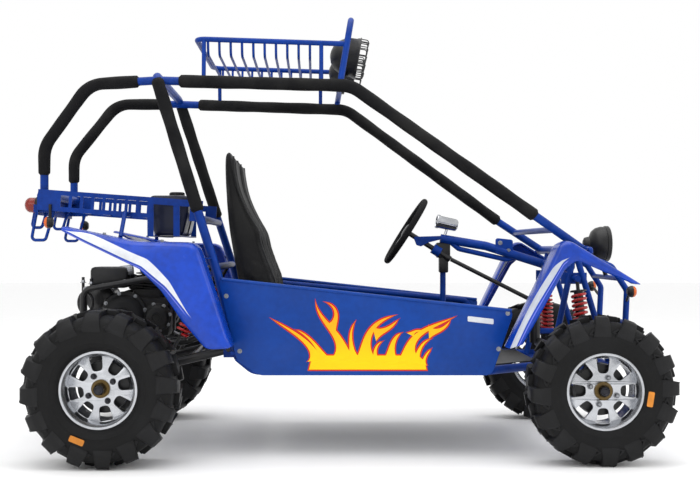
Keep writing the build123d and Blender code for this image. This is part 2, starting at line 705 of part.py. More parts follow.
# Front fenders: a bent strip over the wheel with an outer skirt
FRONT_FENDER_REACH = 110  # from the body's side out to the skirt
FRONT_FENDER_OUT = BODY_WIDTH / 2 + FRONT_FENDER_REACH
FRONT_FENDER_IN = NOSE_Y + 40
FRONT_FENDER_LINE = [(618, 415), (800, 790), (838, 806), (1094, 648)]
FRONT_FENDER_EDGE = [(1062, 650), (858, 738), (816, 702), (664, 430)]
fender_middle = (FRONT_FENDER_OUT + FRONT_FENDER_IN) / 2
with BuildPart() as front_fender_left:
    with BuildLine() as fender_line:
        FilletPolyline(*[(x, fender_middle, z) for x, z in FRONT_FENDER_LINE], radius=15)
    with BuildSketch(Plane(fender_line.line @ 0, x_dir=(0, 1, 0), z_dir=fender_line.line % 0)):
        Rectangle(FRONT_FENDER_OUT - FRONT_FENDER_IN, FENDER_SHEET)
    sweep(path=fender_line.line)
    with BuildSketch(side_plane(FRONT_FENDER_OUT)):
        Polygon(*FRONT_FENDER_LINE, *FRONT_FENDER_EDGE, align=None)
    extrude(amount=FENDER_SHEET)
save(front_fender_left, "front_fender_left")
with BuildPart() as front_fender_right:
    mirror(front_fender_left.part, about=Plane.XZ)
save(front_fender_right, "front_fender_right")

# Brackets that hold the fenders to the hoop, the rack and the nose
BRACKET = 16
BRACKET_PLATE = 4
HOOP_BRACKET_Z = (740, 500)
HOOP_BRACKET_Y = BODY_WIDTH / 2 + 50
RACK_BRACKET_X = -800
NOSE_BRACKET_Y = fender_middle
rack_share = (RACK_BRACKET_X - RACK_REAR[0]) / (RACK_FRONT[0] - RACK_REAR[0])
rack_bracket_z = between(RACK_REAR, RACK_FRONT, rack_share)[1] - RACK_DEPTH + 14
top_share = (RACK_BRACKET_X - FENDER_TOP[0][0]) / (FENDER_TOP[1][0] - FENDER_TOP[0][0])
fender_top_z = between(FENDER_TOP[0], FENDER_TOP[1], top_share)[1]
nose_share = (NOSE[0] - FRONT_FENDER_LINE[2][0]) / (FRONT_FENDER_LINE[3][0] - FRONT_FENDER_LINE[2][0])
nose_fender_z = between(FRONT_FENDER_LINE[2], FRONT_FENDER_LINE[3], nose_share)[1]
with BuildPart() as fender_brackets:
    for bracket_z in HOOP_BRACKET_Z:
        hoop_x, hoop_y, _ = hoop_at(bracket_z)
        sheet_share = (bracket_z - FENDER_TOP[-1][1]) / (FENDER_FRONT_FOOT[1] - FENDER_TOP[-1][1])
        sheet_x = between(FENDER_TOP[-1], FENDER_FRONT_FOOT, sheet_share)[0] - FENDER_SHEET / 2
        with Locations(((hoop_x + sheet_x) / 2, (hoop_y + HOOP_BRACKET_Y) / 2, bracket_z)):
            Box(hoop_x - sheet_x, HOOP_BRACKET_Y - hoop_y, BRACKET_PLATE)
    with Locations((RACK_BRACKET_X, RACK_Y + 40, rack_bracket_z)):
        Box(30, 80, BRACKET_PLATE)
    add_tube(
        [
            (RACK_BRACKET_X, RACK_Y + 70, rack_bracket_z),
            (RACK_BRACKET_X, REAR_FENDER_IN + 40, fender_top_z + 3),
        ],
        BRACKET,
    )
    add_tube(
        [
            (NOSE[0], NOSE_Y, NOSE[1] + 6),
            (NOSE[0], NOSE_BRACKET_Y, NOSE[1] + 6),
            (NOSE[0], NOSE_BRACKET_Y, nose_fender_z + 5),
        ],
        BRACKET,
        bend=10,
    )
    mirror(about=Plane.XZ)
    for neighbour in (
        main_hoop,
        rear_rack,
        lower_frame,
        roof_rails,
        side_panel_left,
        side_panel_right,
        rear_fender_left,
        rear_fender_right,
        front_fender_left,
        front_fender_right,
    ):
        add(neighbour.part, mode=Mode.SUBTRACT)
save(fender_brackets, "fender_brackets")

# Front suspension arms with their kingpin eyes
KINGPIN_Y = 432
ARM_TUBE = 22
EYE_RADIUS = 20
EYE_HEIGHT = 22
LOWER_EYE_DROP = 51  # from the axle down to the lower eye
UPPER_EYE_DROP = 16  # from the upper inner pivot down to the upper eye
ARMS = [  # inner pivot y, inner pivot z, outer eye z, half of the base
    (CLIP_Y, FLOOR_HEIGHT, FRONT_TYRE_RADIUS - LOWER_EYE_DROP, 108),
    (TOWER_Y, TOWER_BAR_Z, TOWER_BAR_Z - UPPER_EYE_DROP, 100),
]
SHOCK_ROD = 14
DAMPER_RADIUS = 17
LOWER_SHOCK_Y = 350
BARREL_RADIUS = 18
BARREL_ROOM = 6
barrel_foot = ARMS[0][2] + EYE_HEIGHT / 2
barrel_top = ARMS[1][2] - EYE_HEIGHT / 2
lower_share = (LOWER_SHOCK_Y - CLIP_Y) / (KINGPIN_Y - CLIP_Y)
lower_shock_z = FLOOR_HEIGHT + (ARMS[0][2] - FLOOR_HEIGHT) * lower_share
lower_shock_half = ARMS[0][3] * (1 - lower_share)
with BuildPart() as front_arms:
    for arm_y, arm_z, eye_z, base in ARMS:
        for sign in (1, -1):
            add_tube(
                [(FRONT_AXLE_X + sign * base, arm_y, arm_z), (FRONT_AXLE_X, KINGPIN_Y, eye_z)], ARM_TUBE
            )
        with Locations((FRONT_AXLE_X, KINGPIN_Y, eye_z)):
            Cylinder(EYE_RADIUS, EYE_HEIGHT)
    add_tube(
        [
            (FRONT_AXLE_X - lower_shock_half, LOWER_SHOCK_Y, lower_shock_z),
            (FRONT_AXLE_X + lower_shock_half, LOWER_SHOCK_Y, lower_shock_z),
        ],
        ARM_TUBE - 4,
    )
    with Locations((FRONT_AXLE_X, KINGPIN_Y, (barrel_foot + barrel_top) / 2)):
        Cylinder(BARREL_RADIUS + BARREL_ROOM, barrel_top - barrel_foot, mode=Mode.SUBTRACT)
    mirror(about=Plane.XZ)
    add(lower_frame.part, mode=Mode.SUBTRACT)
save(front_arms, "front_arms")

# Swing arm with its pivot tube, two arms and the axle housing
AXLE_RADIUS = 15
HOUSING_RADIUS = 32
HOUSING_HALF = 250
SWING_TUBE = 36
SWING_PIVOT_RADIUS = 20
with BuildPart() as swing_arm:
    with BuildSketch(side_plane(0)):
        with Locations(SWING_PIVOT):
            Circle(SWING_PIVOT_RADIUS)
    extrude(amount=LUG_Y - LUG / 2 - PIN_CLEARANCE, both=True)
    with BuildSketch(side_plane(0)):
        with Locations(SWING_PIVOT):
            Circle(PIVOT_PIN / 2)
    extrude(amount=LUG_Y + LUG, both=True)
    for sign in (1, -1):
        add_tube(
            [
                (SWING_PIVOT[0], sign * SWING_Y, SWING_PIVOT[1]),
                (REAR_AXLE_X, sign * SWING_Y, REAR_TYRE_RADIUS),
            ],
            SWING_TUBE,
        )
    brace_x, brace_z = between(SWING_PIVOT, (REAR_AXLE_X, REAR_TYRE_RADIUS), 0.35)
    add_bar_across(brace_x, brace_z, SWING_Y, CROSS_TUBE)
    with BuildSketch(side_plane(0)):
        with Locations((REAR_AXLE_X, REAR_TYRE_RADIUS)):
            Circle(HOUSING_RADIUS)
    extrude(amount=HOUSING_HALF, both=True)
    with BuildSketch(side_plane(0)):
        with Locations((REAR_AXLE_X, REAR_TYRE_RADIUS)):
            Circle(AXLE_RADIUS + 2 * PIN_CLEARANCE)
    extrude(amount=2 * HOUSING_HALF, both=True, mode=Mode.SUBTRACT)
save(swing_arm, "swing_arm")

# Dampers and coil springs, front and rear
REAR_SHOCK_SHARE = 0.6
rear_shock_x, rear_shock_z = between(SWING_PIVOT, (REAR_AXLE_X, REAR_TYRE_RADIUS), REAR_SHOCK_SHARE)
SHOCKS = [  # top, bottom, shares of the length where the spring starts and ends, spring radius
    (
        Vector(SHOCK_BAR[0], SHOCK_BAR_HALF - 14, SHOCK_BAR[1]),
        Vector(FRONT_AXLE_X, LOWER_SHOCK_Y, lower_shock_z),
        (0.12, 0.66),
        26,
    ),
    (
        Vector(*hoop_at(WAIST_BAR_Z)) - Vector(0, FRAME_Y - SWING_Y, 0),
        Vector(rear_shock_x, SWING_Y, rear_shock_z),
        (0.14, 0.7),
        28,
    ),
]
SPRING_WIRE = 9
SPRING_TURNS = 6
SEAT_THICK = 6
with BuildPart() as shock_dampers:
    for top, bottom, (start, end), spring_radius in SHOCKS:
        run = bottom - top
        axis = run.normalized()
        add_tube([tuple(top), tuple(bottom)], SHOCK_ROD)
        add_tube([tuple(top + run * start), tuple(top + run * (start + end) * 0.5)], 2 * DAMPER_RADIUS)
        for seat in (top + run * start, top + run * end):
            add_tube(
                [tuple(seat - axis * SEAT_THICK / 2), tuple(seat + axis * SEAT_THICK / 2)],
                2 * spring_radius + SPRING_WIRE,
            )
    mirror(about=Plane.XZ)
    for neighbour in (lower_frame, cage_cross_tubes, front_arms, swing_arm):
        add(neighbour.part, mode=Mode.SUBTRACT)
save(shock_dampers, "shock_dampers")

with BuildPart() as shock_springs:
    for top, bottom, (start, end), spring_radius in SHOCKS:
        run = bottom - top
        axis = run.normalized()
        spring_room = run.length * (end - start) - SEAT_THICK - SPRING_WIRE - 2 * TOUCH
        spring_foot = top + run * start + axis * (SEAT_THICK / 2 + SPRING_WIRE / 2 + TOUCH)
        with BuildLine() as coil:
            Helix(spring_room / SPRING_TURNS, spring_room, spring_radius, center=spring_foot, direction=axis)
        with BuildSketch(Plane(coil.line @ 0, z_dir=coil.line % 0)):
            Circle(SPRING_WIRE / 2)
        sweep(path=coil.line, is_frenet=True)
    mirror(about=Plane.XZ)
save(shock_springs, "shock_springs")

# Engine cradle and the engine in it
CRADLE_Y = 175
CRADLE_Z = 405
CRADLE_REAR_X = -1000
CRADLE_REAR_TOP = 612
ENGINE_HALF = 150
ENGINE_X = (-1030, -650)
ENGINE_TOP = 710
CRADLE_BARS = (-930, -720)
CRADLE_BAR = 20
with BuildPart() as engine_cradle:
    add_tube(
        [
            (hoop_at(ENGINE_BAR_Z)[0], CRADLE_Y, ENGINE_BAR_Z),
            (-600, CRADLE_Y, CRADLE_Z),
            (CRADLE_REAR_X, CRADLE_Y, CRADLE_Z),
            (CRADLE_REAR_X, CRADLE_Y, CRADLE_REAR_TOP),
            (hoop_at(WAIST_BAR_Z)[0], CRADLE_Y, WAIST_BAR_Z),
        ],
        LIGHT_TUBE,
        bend=40,
    )
    mirror(about=Plane.XZ)
    for bar_x in CRADLE_BARS:
        add_bar_across(bar_x, CRADLE_Z, CRADLE_Y, CRADLE_BAR)
    add(cage_cross_tubes.part, mode=Mode.SUBTRACT)
save(engine_cradle, "engine_cradle")

engine_foot = CRADLE_Z + CRADLE_BAR / 2 + TOUCH
with BuildPart() as engine:
    with BuildSketch(side_plane(ENGINE_HALF)):
        Polygon(
            (ENGINE_X[0] + 60, engine_foot),
            (ENGINE_X[1] - 40, engine_foot),
            (ENGINE_X[1], engine_foot + 70),
            (ENGINE_X[1], engine_foot + 170),
            (ENGINE_X[1] - 90, ENGINE_TOP),
            (ENGINE_X[0] + 120, ENGINE_TOP),
            (ENGINE_X[0], engine_foot + 190),
            (ENGINE_X[0], engine_foot + 60),
            align=None,
        )
    extrude(amount=2 * ENGINE_HALF)
save(engine, "engine")

# Steering: wheel, column, shaft, rack housing and the rack with its tie rods
RIM_RING = (150, 13)  # ring radius and grip radius
HUB_RADIUS = 34
SPOKES = 3
RACK_Z = FLOOR_HEIGHT + 53
RACK_RADIUS = 10
TIE_ROD_RADIUS = 8
RACK_HOUSING = (20, 190)  # radius and half length
RACK_FEET_Y = 110
wheel_plane = Plane(WHEEL_CENTRE, x_dir=(0, 1, 0), z_dir=column_dir)
with BuildPart() as steering_wheel:
    with BuildSketch(Plane(WHEEL_CENTRE, x_dir=wheel_plane.x_dir, z_dir=wheel_plane.y_dir)):
        with Locations((RIM_RING[0], 0)):
            Circle(RIM_RING[1])
    revolve(axis=Axis(WHEEL_CENTRE, column_dir))
    with BuildSketch(wheel_plane):
        Circle(HUB_RADIUS)
    extrude(amount=12, both=True)
    with BuildSketch(wheel_plane):
        with PolarLocations(RIM_RING[0] / 2, SPOKES, start_angle=90):
            Rectangle(RIM_RING[0], 26)
    extrude(amount=3, both=True)
save(steering_wheel, "steering_wheel")

with BuildPart() as steering_column:
    add_tube([tuple(WHEEL_CENTRE), tuple(COLUMN_END)], 2 * COLUMN_RADIUS)
    add_tube(
        [tuple(COLUMN_END - column_dir * JOINT_RADIUS), tuple(COLUMN_END + column_dir * JOINT_REACH)],
        2 * JOINT_RADIUS,
    )
    add(steering_wheel.part, mode=Mode.SUBTRACT)
save(steering_column, "steering_column")

with BuildPart() as steering_shaft:
    shaft_start = COLUMN_END + shaft_dir * (JOINT_RADIUS + PIN_CLEARANCE)
    add_tube([tuple(shaft_start), tuple(SHAFT_END)], 2 * SHAFT_RADIUS)
save(steering_shaft, "steering_shaft")

with BuildPart() as rack_housing:
    add_bar_across(RACK_X, RACK_Z, RACK_HOUSING[1], 2 * RACK_HOUSING[0])
    with Locations((PINION[0], PINION[1], (RACK_Z + PINION_TOP) / 2)):
        Cylinder(PINION_RADIUS, PINION_TOP - RACK_Z)
    for sign in (1, -1):
        with Locations((RACK_X, sign * RACK_FEET_Y, (FLOOR_HEIGHT + RACK_Z) / 2)):
            Box(30, 30, RACK_Z - FLOOR_HEIGHT)
    with BuildSketch(side_plane(0)):
        with Locations((RACK_X, RACK_Z)):
            Circle(RACK_RADIUS + 2 * PIN_CLEARANCE)
    extrude(amount=BODY_WIDTH, both=True, mode=Mode.SUBTRACT)
    with BuildSketch(Plane(SHAFT_END, z_dir=shaft_dir)):
        Circle(SHAFT_RADIUS + PIN_CLEARANCE)
    extrude(amount=PINION_RADIUS, mode=Mode.SUBTRACT)
    add(lower_frame.part, mode=Mode.SUBTRACT)
save(rack_housing, "rack_housing")

STEERING_ARM = FRONT_AXLE_X - RACK_X
ARM_PLATE = 12
ROD_EYE = (13, 20)  # radius and height
arm_top = RACK_Z - ROD_EYE[1] / 2 - PIN_CLEARANCE
with BuildPart() as steering_rack:
    add_bar_across(RACK_X, RACK_Z, RACK_HOUSING[1] + 20, 2 * RACK_RADIUS)
    add_bar_across(RACK_X, RACK_Z, KINGPIN_Y, 2 * TIE_ROD_RADIUS)
    for sign in (1, -1):
        with Locations((RACK_X, sign * KINGPIN_Y, RACK_Z)):
            Cylinder(*ROD_EYE)
save(steering_rack, "steering_rack")

SPINDLE_RADIUS = 13
FRONT_WHEEL_Y = FRONT_TRACK / 2
FRONT_RIM_HALF = 75
REAR_WHEEL_Y = REAR_TRACK / 2
REAR_RIM_HALF = 105
DISC_INSET = 8  # from the rim's outer edge in to the face of its disc
spindle_end = FRONT_WHEEL_Y + FRONT_RIM_HALF - DISC_INSET - 2 * PIN_CLEARANCE
with BuildPart() as knuckle_left:
    with Locations((FRONT_AXLE_X, KINGPIN_Y, (barrel_foot + barrel_top) / 2)):
        Cylinder(BARREL_RADIUS, barrel_top - barrel_foot - 2 * PIN_CLEARANCE)
    with Locations(((FRONT_AXLE_X + RACK_X) / 2 - 6, KINGPIN_Y, arm_top - ARM_PLATE / 2)):
        Box(STEERING_ARM + 12, 28, ARM_PLATE)
    add_tube(
        [(FRONT_AXLE_X, KINGPIN_Y, FRONT_TYRE_RADIUS), (FRONT_AXLE_X, spindle_end, FRONT_TYRE_RADIUS)],
        2 * SPINDLE_RADIUS,
    )
save(knuckle_left, "knuckle_left")
with BuildPart() as knuckle_right:
    mirror(knuckle_left.part, about=Plane.XZ)
save(knuckle_right, "knuckle_right")

# Wheels: alloy rims with slots and tyres with shoulder and centre lugs
RIM_SEAT = 127
RIM_WALL = 6
RIM_FLANGE = 138
RIM_SLOTS = 8
DISC_THICK = 12
HUB = 36
TYRE_SIDES = 36
LUG_HEIGHT = 16
LUGS = 18
TYRE_SECTION = [  # share of the half width, share of the carcass radius
    (-1.0, 0.74),
    (-0.94, 0.93),
    (-0.7, 1.0),
    (0.7, 1.0),
    (0.94, 0.93),
    (1.0, 0.74),
]
SHOULDER_LUG = (0.34, 0.97)  # start and end as shares of the half width
CENTRE_LUG = 0.5  # whole width as a share of the half width
WHEELS = [  # name, x, y, tyre width, half width of the rim, radius of the bore
    ("front", FRONT_AXLE_X, FRONT_WHEEL_Y, FRONT_TYRE_WIDTH, FRONT_RIM_HALF, SPINDLE_RADIUS),
    ("rear", REAR_AXLE_X, REAR_WHEEL_Y, REAR_TYRE_WIDTH, REAR_RIM_HALF, AXLE_RADIUS),
]
TYRE_RADII = {"front": FRONT_TYRE_RADIUS, "rear": REAR_TYRE_RADIUS}
for name, wheel_x, wheel_y, width, rim_half, bore in WHEELS:
    radius = TYRE_RADII[name]
    centre = (wheel_x, wheel_y, radius)
    face_plane = Plane(centre, x_dir=(1, 0, 0), z_dir=(0, 1, 0))
    section_plane = Plane(centre, x_dir=(0, 1, 0), z_dir=(1, 0, 0))
    disc_face = rim_half - DISC_INSET
    hub_back = 10

    with BuildPart() as rim:
        with BuildSketch(section_plane):
            Polygon(
                (-rim_half, RIM_SEAT - RIM_WALL),
                (-rim_half, RIM_FLANGE),
                (RIM_WALL - rim_half, RIM_FLANGE),
                (RIM_WALL - rim_half, RIM_SEAT),
                (rim_half - RIM_WALL, RIM_SEAT),
                (rim_half - RIM_WALL, RIM_FLANGE),
                (rim_half, RIM_FLANGE),
                (rim_half, RIM_SEAT - RIM_WALL),
                align=None,
            )
            Polygon(
                (disc_face - DISC_THICK, 0),
                (disc_face, 0),
                (disc_face, RIM_SEAT - 1),
                (disc_face - DISC_THICK, RIM_SEAT - 1),
                align=None,
            )
            Polygon((hub_back, 0), (rim_half, 0), (rim_half, HUB), (hub_back, HUB), align=None)
        revolve(axis=Axis(centre, (0, 1, 0)))
        with BuildSketch(face_plane.offset(disc_face)):
            with PolarLocations(RIM_SEAT * 0.67, RIM_SLOTS):
                SlotOverall(46, 32)
        extrude(amount=-DISC_THICK, mode=Mode.SUBTRACT)
        with BuildSketch(face_plane.offset(hub_back)):
            Circle(bore + PIN_CLEARANCE)
        extrude(amount=disc_face - hub_back, mode=Mode.SUBTRACT)
    save(rim, f"{name}_rim_left")
    with BuildPart() as other_rim:
        mirror(rim.part, about=Plane.XZ)
    save(other_rim, f"{name}_rim_right")

    with BuildPart() as tyre:
        for width_share, radius_share in TYRE_SECTION:
            with BuildSketch(face_plane.offset(width_share * width / 2)):
                RegularPolygon((radius - LUG_HEIGHT) * radius_share, TYRE_SIDES)
        loft(ruled=True)
        lug_pitch = 360 / LUGS
        for sign, turn in ((1, 0), (-1, lug_pitch / 2)):
            lug_start, lug_end = SHOULDER_LUG
            lug_plane = face_plane.offset(sign * (lug_start + lug_end) * width / 4)
            with Locations(lug_plane):
                with PolarLocations(radius - LUG_HEIGHT, LUGS, start_angle=turn):
                    Box(2 * LUG_HEIGHT, radius * 0.13, (lug_end - lug_start) * width / 2)
        with Locations(face_plane):
            with PolarLocations(radius - LUG_HEIGHT, LUGS, start_angle=lug_pitch / 4):
                Box(2 * LUG_HEIGHT, radius * 0.12, CENTRE_LUG * width / 2)
        with BuildSketch(face_plane):
            Circle(RIM_SEAT + TOUCH)
        extrude(amount=width, both=True, mode=Mode.SUBTRACT)
        for sign in (1, -1):
            with BuildSketch(face_plane.offset(sign * (rim_half - RIM_WALL - TOUCH))):
                Circle(RIM_FLANGE + TOUCH)
            extrude(amount=sign * width, mode=Mode.SUBTRACT)
    save(tyre, f"{name}_tyre_left")
    with BuildPart() as other_tyre:
        mirror(tyre.part, about=Plane.XZ)
    save(other_tyre, f"{name}_tyre_right")

# Rear axle shaft with its sprocket and brake disc
SPROCKET = (95, 8)  # radius and thickness
BRAKE_DISC = (85, 6)
DISC_Y = HOUSING_HALF + 25
with BuildPart() as rear_axle:
    with BuildSketch(side_plane(0)):
        with Locations((REAR_AXLE_X, REAR_TYRE_RADIUS)):
            Circle(AXLE_RADIUS)
    extrude(amount=REAR_WHEEL_Y + REAR_RIM_HALF - DISC_INSET - 2 * PIN_CLEARANCE, both=True)
    for sign, (disc_radius, disc_thick) in ((1, SPROCKET), (-1, BRAKE_DISC)):
        with BuildSketch(side_plane(sign * DISC_Y)):
            with Locations((REAR_AXLE_X, REAR_TYRE_RADIUS)):
                Circle(disc_radius)
        extrude(amount=disc_thick / 2, both=True)
save(rear_axle, "rear_axle")
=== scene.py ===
"""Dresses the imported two-seat dune buggy and sets it in a pale studio. Sizes are in millimetres."""
import json
import logging
import math
from dataclasses import dataclass
from enum import Enum
from functools import lru_cache
from typing import Callable, Sequence

import bmesh
import bpy
from mathutils import Matrix, Vector


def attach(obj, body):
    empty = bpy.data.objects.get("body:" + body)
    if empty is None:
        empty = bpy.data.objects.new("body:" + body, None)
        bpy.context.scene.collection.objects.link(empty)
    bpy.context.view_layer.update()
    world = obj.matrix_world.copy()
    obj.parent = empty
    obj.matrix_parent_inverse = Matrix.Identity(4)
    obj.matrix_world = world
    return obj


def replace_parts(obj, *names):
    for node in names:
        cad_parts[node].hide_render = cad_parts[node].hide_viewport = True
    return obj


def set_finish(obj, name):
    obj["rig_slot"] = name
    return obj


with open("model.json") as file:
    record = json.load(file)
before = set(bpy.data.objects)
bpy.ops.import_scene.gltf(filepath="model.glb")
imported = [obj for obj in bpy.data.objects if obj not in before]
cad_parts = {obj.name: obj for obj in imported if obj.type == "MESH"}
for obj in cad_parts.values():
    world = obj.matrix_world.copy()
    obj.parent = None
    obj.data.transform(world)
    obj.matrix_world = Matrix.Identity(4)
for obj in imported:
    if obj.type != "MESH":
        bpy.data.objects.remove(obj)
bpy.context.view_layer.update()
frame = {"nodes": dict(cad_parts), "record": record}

log = logging.getLogger("buggy")

MM = 0.001
WELD = 0.01  # points of a shape that are nearer than this become one
FULL_TURN = 2 * math.pi
Colour = tuple[float, float, float]
Flat = tuple[float, float]
Point = Sequence[float]
Station = tuple[float, float, float, float, float]
OUTWARDS = (0, -1, 0)  # the way that the right-hand side faces
UPWARDS = (0, 0, 1)


def linear(colour: Colour, gain: float = 1.0) -> tuple[float, float, float, float]:
    """Turns a screen colour into the shader's linear one.

    Args:
        colour: Red, green and blue from 0 to 255.
        gain: A factor on the linear colour.

    Returns:
        Linear red, green, blue and a full alpha.
    """
    parts = [c / 255 for c in colour]
    light = [c / 12.92 if c <= 0.04045 else ((c + 0.055) / 1.055) ** 2.4 for c in parts]
    return (*(min(c * gain, 1.0) for c in light), 1.0)


class Value:
    """A socket of a node tree, with arithmetic that adds Math nodes."""

    def __init__(self, nodes: "Nodes", socket: bpy.types.NodeSocket) -> None:
        """Keeps the tree and the socket."""
        self.nodes = nodes
        self.socket = socket

    def _math(self, operation: str, first: "Value | float", second: "Value | float") -> "Value":
        """Adds one Math node on two values."""
        return self.nodes.node("ShaderNodeMath", {"operation": operation}, {0: first, 1: second})

    def __add__(self, other: "Value | float") -> "Value":
        """Adds two values."""
        return self._math("ADD", self, other)

    __radd__ = __add__

    def __sub__(self, other: "Value | float") -> "Value":
        """Takes a value from this one."""
        return self._math("SUBTRACT", self, other)

    def __rsub__(self, other: "Value | float") -> "Value":
        """Takes this value from another."""
        return self._math("SUBTRACT", other, self)

    def __mul__(self, other: "Value | float") -> "Value":
        """Multiplies two values."""
        return self._math("MULTIPLY", self, other)

    def ramp(self, low: float, high: float) -> "Value":
        """Rises smoothly from 0 at low to 1 at high."""
        return self.nodes.node(
            "ShaderNodeMapRange",
            {"interpolation_type": "SMOOTHSTEP"},
            {"Value": self, "From Min": low, "From Max": high},
        )


class Nodes:
    """A node tree that grows node by node."""

    def __init__(self, tree: bpy.types.NodeTree) -> None:
        """Keeps the tree."""
        self.tree = tree

    def node(
        self, kind: str, settings: dict | None = None, inputs: dict | None = None, out: int | str = 0
    ) -> Value:
        """Adds a node.

        Args:
            kind: The node's type.
            settings: The node's own settings, set first.
            inputs: Values or links for its sockets.
            out: The output that is wanted.

        Returns:
            The wanted output.
        """
        made = self.tree.nodes.new(kind)
        for key, value in (settings or {}).items():
            setattr(made, key, value)
        for key, value in (inputs or {}).items():
            if isinstance(value, Value):
                self.tree.links.new(value.socket, made.inputs[key])
            else:
                made.inputs[key].default_value = value
        return Value(self, made.outputs[out])

    def end(self, kind: str, label: str, value: Value) -> None:
        """Adds the tree's output node and links a value to it."""
        self.tree.links.new(value.socket, self.tree.nodes.new(kind).inputs[label])


class Shader(Nodes):
    """A material with one Principled shader."""

    def __init__(self, name: str) -> None:
        """Makes the material and clears its nodes."""
        self.material = bpy.data.materials.new(name)
        self.material.use_nodes = True
        super().__init__(self.material.node_tree)
        self.tree.nodes.clear()

    def place(self, offset: Point = (0, 0, 0)) -> Value:
        """Gives object coordinates, moved by an offset."""
        spot = self.node("ShaderNodeTexCoord", out="Object")
        return self.node("ShaderNodeMapping", None, {"Vector": spot, "Location": offset})

    def noise(self, place: Value, scale: float, detail: float = 3.0) -> Value:
        """Gives soft noise of a number of cycles to the metre."""
        return self.node("ShaderNodeTexNoise", None, {"Vector": place, "Scale": scale, "Detail": detail})

    def cells(self, place: Value, scale: float) -> Value:
        """Gives the distance to the middle of the nearest cell."""
        return self.node("ShaderNodeTexVoronoi", None, {"Vector": place, "Scale": scale}, out="Distance")

    def mix(self, share: Value, first: "Value | tuple", second: "Value | tuple") -> Value:
        """Mixes two colours."""
        return self.node("ShaderNodeMix", {"data_type": "RGBA"}, {0: share, 6: first, 7: second}, out=2)

    def part(self, vector: Value, axis: str) -> Value:
        """Gives one part of a vector."""
        return self.node("ShaderNodeSeparateXYZ", None, {"Vector": vector}, out=axis)

    def close(self, inputs: dict, height: Value, depth: float) -> bpy.types.Material:
        """Adds the relief, the Principled shader and the output.

        Args:
            inputs: Values or links for the shader's sockets.
            height: The relief of the surface.
            depth: The full depth of the relief in metres.

        Returns:
            The finished material.
        """
        relief = {"Height": height, "Distance": depth, "Strength": 1.0}
        inputs["Normal"] = self.node("ShaderNodeBump", None, relief)
        surface = self.node("ShaderNodeBsdfPrincipled", None, inputs)
        self.end("ShaderNodeOutputMaterial", "Surface", surface)
        return self.material


class Grain(Enum):
    """Reliefs that a surface can have."""

    PEEL = "orange peel of sprayed paint"
    PORES = "open pores of foam"
    PEBBLE = "pebbled vinyl"
    CAST = "rough cast metal"
    MOULDED = "fine moulded plastic"
    RUBBER = "dull moulded rubber"


@dataclass(frozen=True)
class Finish:
    """A surface finish: the material slot that it belongs to, colour, gloss and relief."""

    name: str
    slot: str
    colour: Colour
    rough: float
    grain: Grain = Grain.PEEL
    metal: float = 0.0
    coat: float = 0.0
    depth: float = 0.0004
    shade: float = 0.25
    dust: float = 0.0
    dust_and_painted_light_colour: Colour = (120, 118, 112)
    gloss: float = 0.35

    def relief(self, shader: Shader, place: Value) -> Value:
        """Gives the height of the relief."""
        if self.grain is Grain.PORES:
            return shader.cells(place, 520) * 0.6 + shader.noise(place, 140) * 0.6
        if self.grain is Grain.PEBBLE:
            return shader.cells(place, 330).ramp(0.0, 0.55) + shader.noise(place, 40) * 0.8
        if self.grain is Grain.CAST:
            return shader.noise(place, 420, 5.0) + shader.noise(place, 60) * 0.7
        if self.grain is Grain.RUBBER:
            return shader.noise(place, 260, 4.0) + shader.noise(place, 30) * 0.9
        if self.grain is Grain.MOULDED:
            return shader.noise(place, 900, 2.0) + shader.noise(place, 12) * 0.8
        return shader.noise(place, 240, 1.0) * 0.3 + shader.noise(place, 9) * 0.9

    def paint(self, shader: Shader, place: Value) -> Value:
        """Gives the colour over the surface before dust."""
        tone = shader.noise(place, 5.0) * 0.6 + shader.noise(place, 47.0) * 0.4
        dark, light = linear(self.colour, 1 - self.shade), linear(self.colour, 1 + self.shade)
        return shader.mix(tone.ramp(0.3, 0.7), dark, light)

    def make(self) -> bpy.types.Material:
        """Builds the material."""
        shader = Shader(self.name)
        place = shader.place()
        base = self.paint(shader, place)
        wear = shader.noise(place, 17.0, 5.0)
        rough = self.rough + (wear - 0.5) * 0.25 * max(self.rough, 0.2)
        # Dust settles on upward faces and in patches. On the tyre lugs its lighter colour is also a painted
        # highlight, and on the casing its darker colour is painted shade.
        if self.dust:
            normal = shader.node("ShaderNodeNewGeometry", out="Normal")
            upward = shader.part(normal, "Z").ramp(0.2, 1.0)
            dust_and_painted_light_share = upward * 0.5 + shader.noise(place, 8.0, 4.0).ramp(0.42, 0.75)
            base = shader.mix(dust_and_painted_light_share * self.dust, base, linear(self.dust_and_painted_light_colour))
        inputs = {
            "Base Color": base,
            "Roughness": rough,
            "Metallic": self.metal,
            "Specular IOR Level": self.gloss,
        }
        if self.coat:
            inputs |= {"Coat Weight": self.coat, "Coat Roughness": 0.04}
        return shader.close(inputs, self.relief(shader, place), self.depth)


